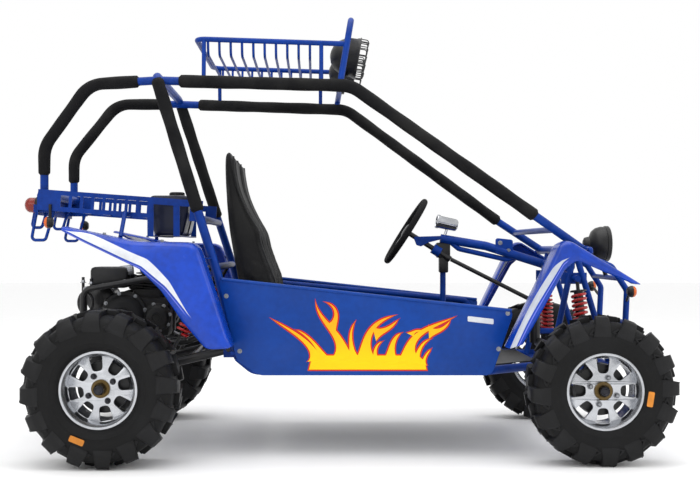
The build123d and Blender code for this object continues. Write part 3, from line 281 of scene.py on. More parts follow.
@dataclass(frozen=True)
class Striped(Finish):
    """Gloss plastic with a white stripe that follows its lower edge, read from the piece's own UV map."""

    start: float = 0.17
    width: float = 0.34
    drift: float = 0.24
    rise: Flat = (0.0, 0.14)
    fall: Flat = (0.42, 0.8)
    white: Colour = (226, 229, 235)
    line: Colour = (116, 126, 226)

    def paint(self, shader: Shader, place: Value) -> Value:
        """Gives the blue plastic with its stripe and the thin line under it."""
        blue = super().paint(shader, place)
        spot = shader.node("ShaderNodeUVMap", {"uv_map": "along"})
        along, across = shader.part(spot, "X"), shader.part(spot, "Y")
        taper = along.ramp(*self.rise) * (1 - along.ramp(*self.fall))
        near = along.ramp(0.3, self.fall[1]) * self.drift + self.start
        far = near + taper * self.width
        edge = 0.012  # softness of the outlines
        deep, gap = 0.1, 0.05  # how far below the stripe the thin line starts and ends
        inside = (across - near).ramp(0.0, edge) * (far - across).ramp(0.0, edge)
        under = (across - near).ramp(-deep, edge - deep) * (near - across).ramp(gap, gap + edge)
        worn = shader.noise(place, 22.0).ramp(0.2, 0.9)
        faded = shader.mix(worn, linear(self.white), linear(self.white, 0.8))
        lined = shader.mix(under * taper.ramp(0.05, 0.2) * 0.8, blue, linear(self.line))
        return shader.mix(inside, lined, faded)


@dataclass(frozen=True)
class Machined(Finish):
    """Bright alloy with turning lines round a wheel's axle."""

    axle: Flat = (0.0, 0.0)

    def relief(self, shader: Shader, place: Value) -> Value:
        """Gives rings round the axle."""
        centred = shader.place((-self.axle[0] * MM, 0, -self.axle[1] * MM))
        rings = shader.node(
            "ShaderNodeTexWave",
            {"wave_type": "RINGS", "rings_direction": "Y"},
            {"Vector": centred, "Scale": 150.0, "Distortion": 0.4, "Detail": 1.0},
        )
        return rings * 0.5 + shader.noise(place, 300.0) * 0.5


@dataclass(frozen=True)
class Flame(Finish):
    """Printed flame film that goes from a hot base to deeper tips."""

    tip: Colour = (232, 96, 20)
    base_z: float = 330
    tip_z: float = 570

    def paint(self, shader: Shader, place: Value) -> Value:
        """Gives the colour from base to tip."""
        height = shader.part(place, "Z") + (shader.noise(place, 14.0) - 0.5) * 0.09
        share = height.ramp(self.base_z * MM, self.tip_z * MM)
        return shader.mix(share, linear(self.colour), linear(self.tip))


@dataclass(frozen=True)
class Lens(Finish):
    """Moulded clear or tinted lens with fine ribs."""

    through: float = 0.7

    def make(self) -> bpy.types.Material:
        """Builds the material."""
        shader = Shader(self.name)
        place = shader.place()
        ribs = shader.node(
            "ShaderNodeTexWave",
            {"wave_type": "BANDS", "bands_direction": "Y"},
            {"Vector": place, "Scale": 38.0, "Distortion": 0.0},
        )
        inputs = {
            "Base Color": self.paint(shader, place),
            "Roughness": self.rough + shader.noise(place, 60.0) * 0.08,
            "IOR": 1.49,
            "Transmission Weight": self.through,
        }
        return shader.close(inputs, ribs, self.depth)


BLUE_PAINT = Finish(
    "royal_blue_gloss", "blue_paint", (3, 50, 132), 0.4, coat=0.03, depth=0.0003, dust=0.02, gloss=0.14
)
BLUE_PANEL = Finish(
    "panel_blue_gloss", "blue_panel", (2, 58, 140), 0.4,
    coat=0.05, depth=0.0004, shade=0.14, dust=0.02, gloss=0.2,
)
TANK_PAINT = Finish(
    "tank_blue", "tank_paint", (6, 16, 44), 0.34, coat=0.15, depth=0.0004, dust=0.04, gloss=0.25
)
FOAM = Finish("black_foam", "foam", (14, 14, 16), 0.85, Grain.PORES, depth=0.0012, dust=0.05, gloss=0.2)
VINYL = Finish("black_vinyl", "vinyl", (9, 9, 11), 0.5, Grain.PEBBLE, depth=0.0006, dust=0.02, gloss=0.16)
PIPING = Finish("seat_piping", "vinyl", (16, 16, 18), 0.45, Grain.MOULDED, depth=0.0002)
BLACK_PLASTIC = Finish(
    "black_plastic", "black_plastic", (16, 16, 18), 0.4, Grain.MOULDED, depth=0.0003, dust=0.04
)
BLACK_STEEL = Finish("black_steel", "black_steel", (17, 17, 20), 0.38, coat=0.15, dust=0.06)
ENGINE_BLACK = Finish(
    "engine_black", "engine_black", (20, 20, 22), 0.5, Grain.CAST, metal=0.3, depth=0.0008, dust=0.1
)
ENGINE_GREY = Finish(
    "engine_grey", "steel", (150, 152, 156), 0.42, Grain.CAST, metal=0.6, depth=0.0006, dust=0.08
)
STEEL = Finish("plain_steel", "steel", (120, 122, 126), 0.38, Grain.CAST, metal=1.0, depth=0.0002, dust=0.05)
ZINC_BOLT = Finish("zinc_bolt", "steel", (140, 142, 146), 0.34, Grain.CAST, metal=1.0, depth=0.0002)
DARK_NUT = Finish("dark_nut", "steel", (52, 52, 56), 0.3, Grain.CAST, metal=1.0, depth=0.0002)
YELLOW_ZINC = Finish("yellow_zinc", "steel", (92, 74, 40), 0.42, Grain.CAST, metal=0.8, depth=0.0003, dust=0.15)
CHROME = Finish("chrome", "chrome", (190, 192, 196), 0.12, metal=1.0, depth=0.0002)
RED_SPRING = Finish("red_spring", "spring_red", (186, 20, 18), 0.3, coat=0.4, dust=0.04)
# Both tyre finishes are the same black rubber. The lugs get a lighter dust colour than the casing, which adds
# to the real dust a painted highlight on the lugs and painted shade in the gaps between them.
RUBBER = Finish(
    "tyre_rubber", "tyre", (8, 8, 9), 0.6, Grain.RUBBER,
    depth=0.0014, dust=0.06, dust_and_painted_light_colour=(58, 60, 64), gloss=0.22,
)
LUG_RUBBER_PAINTED_LIT = Finish(
    "lug_rubber", "tyre", (8, 8, 10), 0.52, Grain.RUBBER,
    depth=0.001, dust=0.06, dust_and_painted_light_colour=(66, 68, 72), gloss=0.28,
)
WHITE_FILM = Finish(
    "reflector_film", "blue_panel", (206, 209, 214), 0.3, Grain.PEBBLE, depth=0.0003, shade=0.08
)
STICKER = Finish("sticker_orange", "amber", (206, 128, 40), 0.5, Grain.MOULDED, depth=0.0002)
DIAL = Finish("dial_face", "black_plastic", (14, 14, 16), 0.4, Grain.MOULDED)
MARK = Finish("dial_mark", "chrome", (226, 226, 222), 0.5, Grain.MOULDED)
FLAME_EDGE = Flame("flame_edge", "blue_panel", (204, 52, 18), 0.4, shade=0.08, gloss=0.2, tip=(196, 34, 24))
FLAME_FILL = Flame("flame_fill", "blue_panel", (244, 204, 4), 0.4, shade=0.08, gloss=0.2, tip=(238, 158, 22))
AMBER = Lens("amber_lens", "amber", (224, 100, 10), 0.12, depth=0.0006, through=0.25)
RED_LENS = Lens("red_lens", "red_lens", (150, 34, 16), 0.12, depth=0.0006, through=0.25)
CLEAR_LENS = Lens("clear_lens", "chrome", (226, 232, 236), 0.08, depth=0.0006, through=0.55)
REAR_PLASTIC = Striped(
    "rear_fender_blue", "blue_plastic", (4, 58, 168), 0.26, coat=0.15, depth=0.0005, dust=0.02, gloss=0.3
)
FRONT_PLASTIC = Striped(
    "front_fender_blue", "blue_plastic", (4, 54, 156), 0.26, coat=0.15, depth=0.0005, dust=0.02, gloss=0.3,
    start=0.34, width=0.26, drift=0.0, rise=(0.4, 0.56), fall=(1.2, 1.4), white=(188, 194, 206),
)


@lru_cache(maxsize=None)
def material_of(finish: Finish) -> bpy.types.Material:
    """Gives the one material of a finish."""
    return finish.make()


def rounded(
    points: Sequence[Point], radius: float | Sequence[float], steps: int = 7, closed: bool = False
) -> list[Vector]:
    """Rounds the corners of a line of points.

    Args:
        points: The corners, in two or three dimensions.
        radius: The radius that each corner gets where there is room, or one for each corner.
        steps: Points on each rounded corner.
        closed: Whether the line is a closed loop.

    Returns:
        The points of the rounded line.
    """
    corners = [Vector((*p, 0.0)) if len(p) == 2 else Vector(p) for p in points]
    count = len(corners)
    line = [] if closed else [corners[0]]
    for i in range(count) if closed else range(1, count - 1):
        here, before, after = corners[i], corners[i - 1], corners[(i + 1) % count]
        back, ahead = before - here, after - here
        half = back.angle(ahead) / 2
        bend = radius[i] if isinstance(radius, (list, tuple)) else radius
        reach = min(bend / math.tan(half), 0.48 * back.length, 0.48 * ahead.length)
        start, end = here + back.normalized() * reach, here + ahead.normalized() * reach
        for step in range(steps + 1):
            share = step / steps
            line.append(start * (1 - share) ** 2 + here * 2 * share * (1 - share) + end * share**2)
    return line if closed else line + [corners[-1]]


def sampled(points: Sequence[Vector], count: int) -> list[Vector]:
    """Spreads a number of points evenly along a line."""
    lengths = [0.0]
    for a, b in zip(points, points[1:]):
        lengths.append(lengths[-1] + (b - a).length)
    line, k = [], 0
    for i in range(count):
        want = lengths[-1] * i / (count - 1)
        while k < len(points) - 2 and lengths[k + 1] < want:
            k += 1
        span = lengths[k + 1] - lengths[k] or 1.0
        line.append(points[k].lerp(points[k + 1], min(max((want - lengths[k]) / span, 0.0), 1.0)))
    return line


def turns(count: int, closed: bool = False) -> list[float]:
    """Gives evenly spaced angles of a full turn, with its end as well where the round is closed."""
    return [FULL_TURN * k / count for k in range(count + closed)]


def side_place(y: float) -> Matrix:
    """Places a flat shape drawn in length and height on the right-hand side, its front facing outwards."""
    return Matrix(((1, 0, 0, 0), (0, 0, -1, y), (0, 1, 0, 0), (0, 0, 0, 1)))


def facing(centre: Point, axis: Point) -> Matrix:
    """Places a shape whose own Z axis becomes the given axis at a centre."""
    return Matrix.Translation(Vector(centre)) @ Vector(axis).to_track_quat("Z", "Y").to_matrix().to_4x4()


class Shape:
    """Gathers faces in millimetres and turns them into finished pieces."""

    def __init__(self, name: str) -> None:
        """Starts an empty shape."""
        self.name = name
        self.mesh = bmesh.new()
        self.uv = self.mesh.loops.layers.uv.new("along")

    def grid(
        self,
        rows: Sequence[Sequence[Point]],
        closed: bool = False,
        across: Sequence[Sequence[float]] | None = None,
    ) -> None:
        """Adds a sheet of quads through rows of points.

        Args:
            rows: The rows of points.
            closed: Whether each row is a closed ring.
            across: The second UV value of each point, or its share of the row.
        """
        made = [[self.mesh.verts.new(p) for p in row] for row in rows]
        n, m = len(made), len(made[0])
        for i in range(n - 1):
            for j in range(m if closed else m - 1):
                spots = [(i, j), (i, j + 1), (i + 1, j + 1), (i + 1, j)]
                face = self.mesh.faces.new([made[a][b % m] for a, b in spots])
                for loop, (a, b) in zip(face.loops, spots):
                    second = across[a][b % m] if across else b / (m - 1)
                    loop[self.uv].uv = (a / (n - 1), second)

    def loft(self, rows: Sequence[Sequence[Point]]) -> None:
        """Adds a solid through closed rings of points, with a face at each end."""
        self.grid(rows, closed=True)
        for row in (rows[0], rows[-1]):
            self.mesh.faces.new([self.mesh.verts.new(p) for p in row])

    def lathe(self, profile: Sequence[Flat], centre: Point, axis: Point, steps: int = 48) -> None:
        """Adds a turned shape.

        Args:
            profile: Distance along the axis and radius of each point.
            centre: Where distance along the axis is zero.
            axis: The direction of the axis.
            steps: Faces round the axis.
        """
        spot = facing(centre, axis)
        rows = [[spot @ Vector((*p, along)) for p in circle(radius, steps)] for along, radius in profile]
        self.grid(rows, closed=True)

    def tube(
        self,
        path: Sequence[Point],
        radius: float,
        sides: int = 16,
        swell: Callable[[float, float], float] | None = None,
        bore: float = 0.0,
    ) -> None:
        """Adds a round bar along a path, with closed ends.

        Args:
            path: The points of its middle line.
            radius: Its radius.
            sides: Faces round it.
            swell: Gives an addition to the radius at a share of the length and an angle.
            bore: The radius that the ends close to.
        """
        line = [Vector(p) for p in path]
        rows = []
        side = None
        for i, spot in enumerate(line):
            ahead = (line[min(i + 1, len(line) - 1)] - line[max(i - 1, 0)]).normalized()
            if side is None:
                side = Vector((0, 0, 1)) if abs(ahead.z) < 0.9 else Vector((1, 0, 0))
            side = (side - ahead * side.dot(ahead)).normalized()
            other = ahead.cross(side)
            share = i / (len(line) - 1)
            row = []
            for angle in turns(sides):
                reach = radius + (swell(share, angle) if swell else 0.0)
                row.append(spot + (side * math.cos(angle) + other * math.sin(angle)) * reach)
            rows.append(row)
        first = [line[0] + (p - line[0]).normalized() * bore for p in rows[0]]
        last = [line[-1] + (p - line[-1]).normalized() * bore for p in rows[-1]]
        self.grid([first, *rows, last], closed=True)

    def block(self, size: Point, place: Matrix | Point, bevel: float = 2.0) -> None:
        """Adds a box with rounded edges.

        Args:
            size: Its three sides.
            place: Its middle, or the matrix that places it.
            bevel: The rounding of its edges.
        """
        spot = place if isinstance(place, Matrix) else Matrix.Translation(Vector(place))
        solid = bmesh.new()
        bmesh.ops.create_cube(solid, size=1.0, matrix=Matrix.Diagonal((*size, 1.0)))
        bmesh.ops.bevel(solid, geom=solid.edges[:], offset=bevel, segments=2, affect="EDGES", profile=0.5)
        self.take(solid, spot)

    def take(self, solid: bmesh.types.BMesh, spot: Matrix) -> None:
        """Moves another mesh's faces into this shape and frees it."""
        solid.transform(spot)
        data = bpy.data.meshes.new("part")
        solid.to_mesh(data)
        solid.free()
        self.mesh.from_mesh(data)
        bpy.data.meshes.remove(data)

    def plate(
        self,
        outlines: Sequence[Sequence[Point]],
        thick: float,
        place: Matrix,
        bevel: float = 1.0,
        bow: float = 0.0,
    ) -> None:
        """Adds a flat plate with rounded edges and holes.

        Args:
            outlines: The outer outline and the outlines of the holes, flat.
            thick: The plate's thickness.
            place: The matrix that places the plate's middle.
            bevel: The rounding of its edges.
            bow: How far the rim falls back behind the middle, per square of the distance in metres.
        """
        curve = bpy.data.curves.new("outline", "CURVE")
        curve.dimensions, curve.fill_mode = "2D", "BOTH"
        curve.extrude, curve.bevel_depth, curve.bevel_resolution = thick / 2 - bevel, bevel, 1
        curve.offset = -bevel
        for outline in outlines:
            spline = curve.splines.new("POLY")
            spline.points.add(len(outline) - 1)
            for point, spot in zip(spline.points, outline):
                point.co = (spot[0], spot[1], 0, 1)
            spline.use_cyclic_u = True
        holder = bpy.data.objects.new("outline", curve)
        data = bpy.data.meshes.new_from_object(holder)
        solid = bmesh.new()
        solid.from_mesh(data)
        bmesh.ops.remove_doubles(solid, verts=solid.verts[:], dist=WELD)
        for vert in solid.verts:
            vert.co.z -= bow * (vert.co.x**2 + vert.co.y**2) * MM
        bpy.data.objects.remove(holder)
        bpy.data.curves.remove(curve)
        bpy.data.meshes.remove(data)
        self.take(solid, place)

    def bake(self) -> bpy.types.Object:
        """Welds the gathered faces, turns them outwards and gives them as an object that isn't shown yet."""
        bmesh.ops.remove_doubles(self.mesh, verts=self.mesh.verts[:], dist=WELD)
        bmesh.ops.recalc_face_normals(self.mesh, faces=self.mesh.faces[:])
        self.mesh.transform(Matrix.Scale(MM, 4))
        data = bpy.data.meshes.new(self.name)
        self.mesh.to_mesh(data)
        self.mesh.free()
        return bpy.data.objects.new(self.name, data)

    def piece(
        self, finish: Finish, smooth: float = 40.0, body: str = "chassis", slot: str = "", wall: float = 0.0
    ) -> bpy.types.Object:
        """Turns the gathered faces into a finished piece.

        Args:
            finish: Its finish.
            smooth: The angle in degrees past which an edge stays sharp.
            body: The body that it moves with.
            slot: Its material slot, where that isn't the finish's own.
            wall: A sheet's thickness, or zero for a closed shape.

        Returns:
            The piece.
        """
        obj = self.bake()
        bpy.context.scene.collection.objects.link(obj)
        if wall:
            skin = obj.modifiers.new("wall", "SOLIDIFY")
            skin.thickness, skin.offset = wall * MM, -1
            apply_modifiers(obj)
        return settle(obj, finish, smooth, body, slot)


def apply_modifiers(obj: bpy.types.Object) -> None:
    """Makes what a piece's modifiers show its own mesh, and removes them."""
    bpy.context.view_layer.update()
    data = bpy.data.meshes.new_from_object(obj.evaluated_get(bpy.context.evaluated_depsgraph_get()))
    obj.modifiers.clear()
    obj.data = data


def settle(
    obj: bpy.types.Object, finish: Finish, smooth: float = 40.0, body: str = "chassis", slot: str = ""
) -> bpy.types.Object:
    """Gives a piece its material, shading, body and slot, and reports it."""
    obj.data.materials.clear()
    obj.data.materials.append(material_of(finish))
    for face in obj.data.polygons:
        face.material_index = 0
    obj.data.shade_smooth()
    obj.data.set_sharp_from_angle(angle=math.radians(smooth))
    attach(obj, body)
    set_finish(obj, slot or finish.slot)
    log.info("%s: %d faces on %s", obj.name, len(obj.data.polygons), body)
    return obj


def mirrored(obj: bpy.types.Object, body: str) -> bpy.types.Object:
    """Copies a finished right-hand piece to the left-hand side, where it moves with the given body."""
    data = obj.data.copy()
    data.transform(Matrix.Diagonal((1, -1, 1, 1)))
    data.flip_normals()
    copy = bpy.data.objects.new(obj.name.replace("right", "left"), data)
    bpy.context.scene.collection.objects.link(copy)
    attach(copy, body)
    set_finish(copy, obj["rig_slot"])
    log.info("%s: copy of %s on %s", copy.name, obj.name, body)
    return copy


def both_sides(
    pieces: Sequence[bpy.types.Object], node: str = "", body: str = "chassis"
) -> None:
    """Copies right-hand pieces to the left.

    Args:
        pieces: The finished right-hand pieces.
        node: The CAD node whose place the first piece takes; its copy takes that of the left-hand node.
        body: The body that the copies move with.
    """
    for obj in pieces:
        copy = mirrored(obj, body)
        if node and obj is pieces[0]:
            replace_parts(obj, node)
            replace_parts(copy, node.replace("right", "left"))


class Repeater:
    """Geometry Nodes trees that set copies of an item round an axle or on given spots."""

    def __init__(self) -> None:
        """Builds the two trees."""
        self.ring_tree = self._ring_tree()
        self.spot_tree = self._spot_tree()

    @staticmethod
    def _start(name: str, *sizes: tuple[str, str]) -> Nodes:
        """Makes a tree with its named inputs."""
        tree = bpy.data.node_groups.new(name, "GeometryNodeTree")
        for label, kind in [("Geometry", "Geometry"), ("Item", "Object"), ("Finish", "Material"), *sizes]:
            tree.interface.new_socket(label, in_out="INPUT", socket_type=f"NodeSocket{kind}")
        tree.interface.new_socket("Geometry", in_out="OUTPUT", socket_type="NodeSocketGeometry")
        return Nodes(tree)

    @staticmethod
    def _given(nodes: Nodes, label: str) -> Value:
        """Gives one of a tree's inputs."""
        return nodes.node("NodeGroupInput", out=label)

    def _close(self, nodes: Nodes, points: Value, turn: Value) -> bpy.types.GeometryNodeTree:
        """Adds the nodes from the points to the finished mesh, and gives the tree."""
        given = {"Object": self._given(nodes, "Item")}
        item = nodes.node("GeometryNodeObjectInfo", None, given, out="Geometry")
        spread = {"Points": points, "Instance": item, "Rotation": turn}
        copies = nodes.node("GeometryNodeInstanceOnPoints", None, spread)
        real = nodes.node("GeometryNodeRealizeInstances", None, {"Geometry": copies})
        coat = {"Geometry": real, "Material": self._given(nodes, "Finish")}
        nodes.end("NodeGroupOutput", "Geometry", nodes.node("GeometryNodeSetMaterial", None, coat))
        return nodes.tree

    def _ring_tree(self) -> bpy.types.GeometryNodeTree:
        """Builds the tree that turns copies round the lateral axis."""
        nodes = self._start("copies_round_axle", ("Count", "Int"), ("Phase", "Float"))
        count, phase = self._given(nodes, "Count"), self._given(nodes, "Phase")
        points = nodes.node("GeometryNodePoints", None, {"Count": count})
        index = nodes.node("GeometryNodeInputIndex")
        share = nodes.node("ShaderNodeMath", {"operation": "DIVIDE"}, {0: index, 1: count})
        angle = nodes.node("ShaderNodeMath", {"operation": "MULTIPLY_ADD"}, {0: share, 1: FULL_TURN, 2: phase})
        euler = nodes.node("ShaderNodeCombineXYZ", None, {"Y": angle})
        return self._close(nodes, points, nodes.node("FunctionNodeEulerToRotation", None, {0: euler}))

    def _spot_tree(self) -> bpy.types.GeometryNodeTree:
        """Builds the tree that sets copies on the carrier's points, turned by its own attribute."""
        nodes = self._start("copies_on_spots")
        named = nodes.node("GeometryNodeInputNamedAttribute", {"data_type": "FLOAT_VECTOR"}, {"Name": "turn"})
        turn = nodes.node("FunctionNodeEulerToRotation", None, {0: named})
        return self._close(nodes, self._given(nodes, "Geometry"), turn)

    @staticmethod
    def _run(
        carrier: bpy.types.Object, tree: bpy.types.GeometryNodeTree, item: bpy.types.Object, values: dict
    ) -> None:
        """Runs a tree on a carrier, keeps its result as a plain mesh and removes the item."""
        copies = carrier.modifiers.new("copies", "NODES")
        copies.node_group = tree
        names = {s.name: s.identifier for s in tree.interface.items_tree if s.in_out == "INPUT"}
        for label, value in {"Item": item, **values}.items():
            copies[names[label]] = value
        bpy.context.scene.collection.objects.link(carrier)
        apply_modifiers(carrier)
        bpy.data.objects.remove(item)

    def ring(
        self,
        name: str,
        item: bpy.types.Object,
        count: int,
        phase: float,
        centre: Point,
        finish: Finish,
        body: str,
    ) -> bpy.types.Object:
        """Sets copies of an item round an axle.

        Args:
            name: The new piece's name.
            item: The item, placed round an axle through the origin; it is removed.
            count: How many copies.
            phase: The angle of the first copy.
            centre: The axle's place.
            finish: The piece's finish.
            body: The body that it moves with.

        Returns:
            The piece.
        """
        carrier = bpy.data.objects.new(name, bpy.data.meshes.new(name))
        values = {"Finish": material_of(finish), "Count": count, "Phase": phase}
        self._run(carrier, self.ring_tree, item, values)
        carrier.data.transform(Matrix.Translation(Vector(centre) * MM))
        return settle(carrier, finish, body=body)

    def spots(
        self, name: str, item: bpy.types.Object, places: Sequence[tuple[Point, Point]], finish: Finish
    ) -> bpy.types.Object:
        """Sets copies of an item on given spots of the chassis.

        Args:
            name: The new piece's name.
            item: The item, at the origin, its own Z axis outwards; it is removed.
            places: Each copy's place and the direction that it faces.
            finish: The piece's finish.

        Returns:
            The piece.
        """
        data = bpy.data.meshes.new(name)
        data.from_pydata([Vector(spot) * MM for spot, _ in places], [], [])
        ways = data.attributes.new("turn", "FLOAT_VECTOR", "POINT")
        for entry, (_, axis) in zip(ways.data, places):
            entry.vector = Vector(axis).to_track_quat("Z", "Y").to_euler()
        carrier = bpy.data.objects.new(name, data)
        self._run(carrier, self.spot_tree, item, {"Finish": material_of(finish)})
        return settle(carrier, finish)


REPEAT = Repeater()


def bolt_item(size: float) -> bpy.types.Object:
    """Makes a hexagon bolt head with a washer, facing its own Z axis.

    Args:
        size: The distance across its flats.

    Returns:
        The item.
    """
    shape = Shape("bolt")
    washer, head = 0.95 * size, 0.58 * size
    shape.lathe([(0, 0), (0, washer), (0.16 * size, washer), (0.2 * size, 0)], (0, 0, 0), UPWARDS, 20)
    hexagon = [(0.15, 0), (0.15, head), (0.7, head), (0.82, 0.8 * head), (0.82, 0)]
    shape.lathe([(a * size, r) for a, r in hexagon], (0, 0, 0), UPWARDS, 6)
    return shape.bake()


def circle(radius: float, steps: int = 64, centre: Flat = (0, 0)) -> list[Flat]:
    """Gives the points of a circle."""
    return [(centre[0] + radius * math.cos(t), centre[1] + radius * math.sin(t)) for t in turns(steps)]


FLANGE_RADIUS = 138  # of every rim, where the tyre's bead sits


@dataclass
class Wheel:
    """A tyre with moulded lugs on a slotted alloy rim, built on the right and copied to the left."""

    name: str
    x: float
    y: float
    radius: float
    width: float
    rim_half: float
    bodies: tuple[str, str]
    sticker: Flat
    recess: float
    slot_turn: float
    nut_turn: float
    nut_finish: Finish
    lugs: int = 16
    lug_height: float = 17
    windows: int = 8
    bolts: int = 4
    bolt_circle: float = 50
    barrel_radius: float = 121

    @property
    def centre(self) -> Vector:
        """The middle of the right-hand wheel."""
        return Vector((self.x, -self.y, self.radius))

    @property
    def carcass(self) -> float:
        """The tyre's radius between its lugs."""
        return self.radius - self.lug_height

    @property
    def face_out(self) -> float:
        """How far the face's middle stands out from the wheel's middle."""
        return self.rim_half - self.recess

    def shape(self, label: str) -> Shape:
        """Starts a right-hand piece of this wheel."""
        return Shape(f"{self.name}_{label}_right")

    def finished(self, shape: Shape, finish: Finish, smooth: float = 40.0) -> bpy.types.Object:
        """Finishes a piece that turns with the right-hand wheel."""
        return shape.piece(finish, smooth, self.bodies[0])

    def around(self, label: str, item: Shape, count: int, phase: float, finish: Finish) -> bpy.types.Object:
        """Sets copies of an item, drawn round the origin, round the right-hand wheel's axle."""
        name = f"{self.name}_{label}_right"
        return REPEAT.ring(name, item.bake(), count, phase, self.centre, finish, self.bodies[0])

    def build(self) -> None:
        """Builds every piece of the wheel on both sides."""
        tyre = [self.tread_casing(), *self.shoulder_lugs(), self.centre_lugs(), self.side_marks()]
        rim = [self.barrel(), self.face(), self.drum(), *self.hub(), self.nuts(), self.label()]
        both_sides(tyre, f"{self.name}_tyre_right", self.bodies[1])
        both_sides(rim, f"{self.name}_rim_right", self.bodies[1])

    def tread_casing(self) -> bpy.types.Object:
        """Turns the tyre's casing with its bead and side ribs."""
        half, top = self.width / 2, self.carcass
        side = [
            (self.rim_half - 7, FLANGE_RADIUS - 10),
            (self.rim_half - 5, FLANGE_RADIUS + 0.5),
            (self.rim_half + 3, FLANGE_RADIUS + 1.5),
            (0.95 * half, 0.6 * top),
            (0.975 * half, 0.63 * top),
            (0.995 * half, 0.645 * top),
            (0.98 * half, 0.66 * top),
            (1.0 * half, 0.72 * top),
            (1.0 * half, 0.78 * top),
            (0.985 * half, 0.85 * top),
            (0.95 * half, 0.91 * top),
            (0.88 * half, 0.955 * top),
            (0.72 * half, 0.985 * top),
            (0.4 * half, 0.998 * top),
        ]
        profile = [(-a, r) for a, r in side] + [(0, top)] + [(a, r) for a, r in reversed(side)]
        shape = self.shape("tyre_casing")
        shape.lathe(profile, self.centre, OUTWARDS, 96)
        return self.finished(shape, RUBBER, 50)

    @staticmethod
    def lug(section: Sequence[Flat], thick: float, skew: float) -> Shape:
        """Makes one lug at the top of the tyre.

        Args:
            section: Its section across the tyre, as lateral place and radius.
            thick: Its thickness along the tread.
            skew: How far it leans along the tread for each millimetre across.

        Returns:
            The lug.
        """
        shape = Shape("lug")
        foot, draft, bevel = 1.12, 0.2 / 40, 2.2  # width at its foot, loss of width with height, rounding
        low = min(r for _, r in section)
        rows = []
        for end in (-0.5, 0.5):
            rows.append([(end * thick * (foot - draft * (r - low)) + skew * y, y, r) for y, r in section])
        shape.loft(rows)
        bmesh.ops.remove_doubles(shape.mesh, verts=shape.mesh.verts[:], dist=WELD)
        bmesh.ops.bevel(shape.mesh, geom=shape.mesh.edges[:], offset=bevel, segments=1, affect="EDGES")
        return shape

    def shoulder_lugs(self) -> list[bpy.types.Object]:
        """Sets long and short lugs round both shoulders."""
        half, top, low = self.width / 2, self.radius, self.carcass
        pieces = []
        for side, turn in ((-1, 0.0), (1, 0.5)):
            for kind, start, share in (("long", 0.2, 0.0), ("short", 0.46, 0.5)):
                section = [
                    (start * half, low - 8),
                    (start * half, top),
                    (0.74 * half, top - 2),
                    (0.9 * half, top - 10),
                    (1.0 * half, 0.93 * low),
                    (1.025 * half, 0.85 * low),
                    (1.0 * half, 0.78 * low),
                    (0.9 * half, 0.8 * low),
                    (0.8 * half, 0.93 * low),
                ]
                lug = self.lug([(side * y, r) for y, r in section], self.radius * 0.22, 0.16)
                phase = FULL_TURN / self.lugs * (turn + 2 * share)
                edge = "outer" if side < 0 else "inner"
                label = f"tyre_{edge}_{kind}_lugs"
                pieces.append(self.around(label, lug, self.lugs // 2, phase, LUG_RUBBER_PAINTED_LIT))
        return pieces

    def centre_lugs(self) -> bpy.types.Object:
        """Sets slanting lugs along the middle of the tread."""
        half, top, low = self.width / 2, self.radius, self.carcass
        section = [(-0.25 * half, low - 6), (-0.25 * half, top), (0.25 * half, top), (0.25 * half, low - 6)]
        lug = self.lug(section, self.radius * 0.16, -0.4)
        return self.around("tyre_centre_lugs", lug, self.lugs, FULL_TURN / self.lugs / 4, LUG_RUBBER_PAINTED_LIT)

    def side_marks(self) -> bpy.types.Object:
        """Sets raised diamond frames round the outer side, between the lugs."""
        shape = Shape("side_mark")
        reach = 0.09 * self.carcass
        frame_line = [(-reach, -3), (-0.2 * reach, 13), (reach, 4), (0.2 * reach, -13)]
        inner = [(0.55 * a, 0.5 * b) for a, b in frame_line]
        spot = facing((0, -0.985 * self.width / 2, 0.86 * self.carcass), OUTWARDS)
        shape.plate([frame_line, inner], 6, spot, 0.8)
        return self.around("tyre_side_marks", shape, self.lugs, FULL_TURN / self.lugs / 2, LUG_RUBBER_PAINTED_LIT)

    def alloy(self) -> Finish:
        """Gives the rim's finish with turning lines round this axle."""
        return Machined(
            f"{self.name}_alloy", "alloy", (186, 188, 192), 0.26,
            metal=1.0, depth=0.00012, shade=0.12, axle=(self.x, self.radius),
        )

    def barrel(self) -> bpy.types.Object:
        """Turns the rim's barrel with its two lips."""
        half, wide, narrow = self.rim_half, self.barrel_radius, self.barrel_radius - 3
        outer = [(half, 130), (half + 1, 134)]
        outer += [(half, FLANGE_RADIUS), (half - 5, FLANGE_RADIUS), (half - 7, 127)]
        inner = [(-a, r) for a, r in reversed(outer)]
        inside = [(-half + 10, wide), (-half + 30, narrow), (half - 30, narrow), (half - 12, wide)]
        shape = self.shape("rim_barrel")
        profile = outer + inner + inside
        shape.lathe([*profile, profile[0]], self.centre, OUTWARDS, 72)
        return self.finished(shape, self.alloy(), 35)

    def face(self) -> bpy.types.Object:
        """Cuts the rim's slotted face."""
        window = rounded([(63, -17), (63, 17), (115, 24), (115, -24)], (16, 16, 6, 6), 6, closed=True)
        bore, thick, bevel = 20, 14, 3.0
        outlines = [circle(self.barrel_radius, 72), circle(bore, 32)]
        for angle in turns(self.windows):
            turn = Matrix.Rotation(math.radians(self.slot_turn) + angle, 3, "Z")
            outlines.append([turn @ p for p in window])
        shape = self.shape("rim_face")
        spot = side_place(-self.y - self.face_out) @ Matrix.Translation((self.x, self.radius, 0))
        shape.plate(outlines, thick, spot, bevel, bow=0.4)
        return self.finished(shape, self.alloy(), 35)

    def drum(self) -> bpy.types.Object:
        """Turns the dark brake drum behind the face."""
        shape = self.shape("drum")
        profile = [(0, 0), (0, 60), (-4, 92), (-28, 96), (-32, 90), (-32, 0)]
        shape.lathe(profile, self.centre + Vector(OUTWARDS) * min(self.face_out - 24, 8), OUTWARDS, 48)
        return self.finished(shape, BLACK_STEEL)

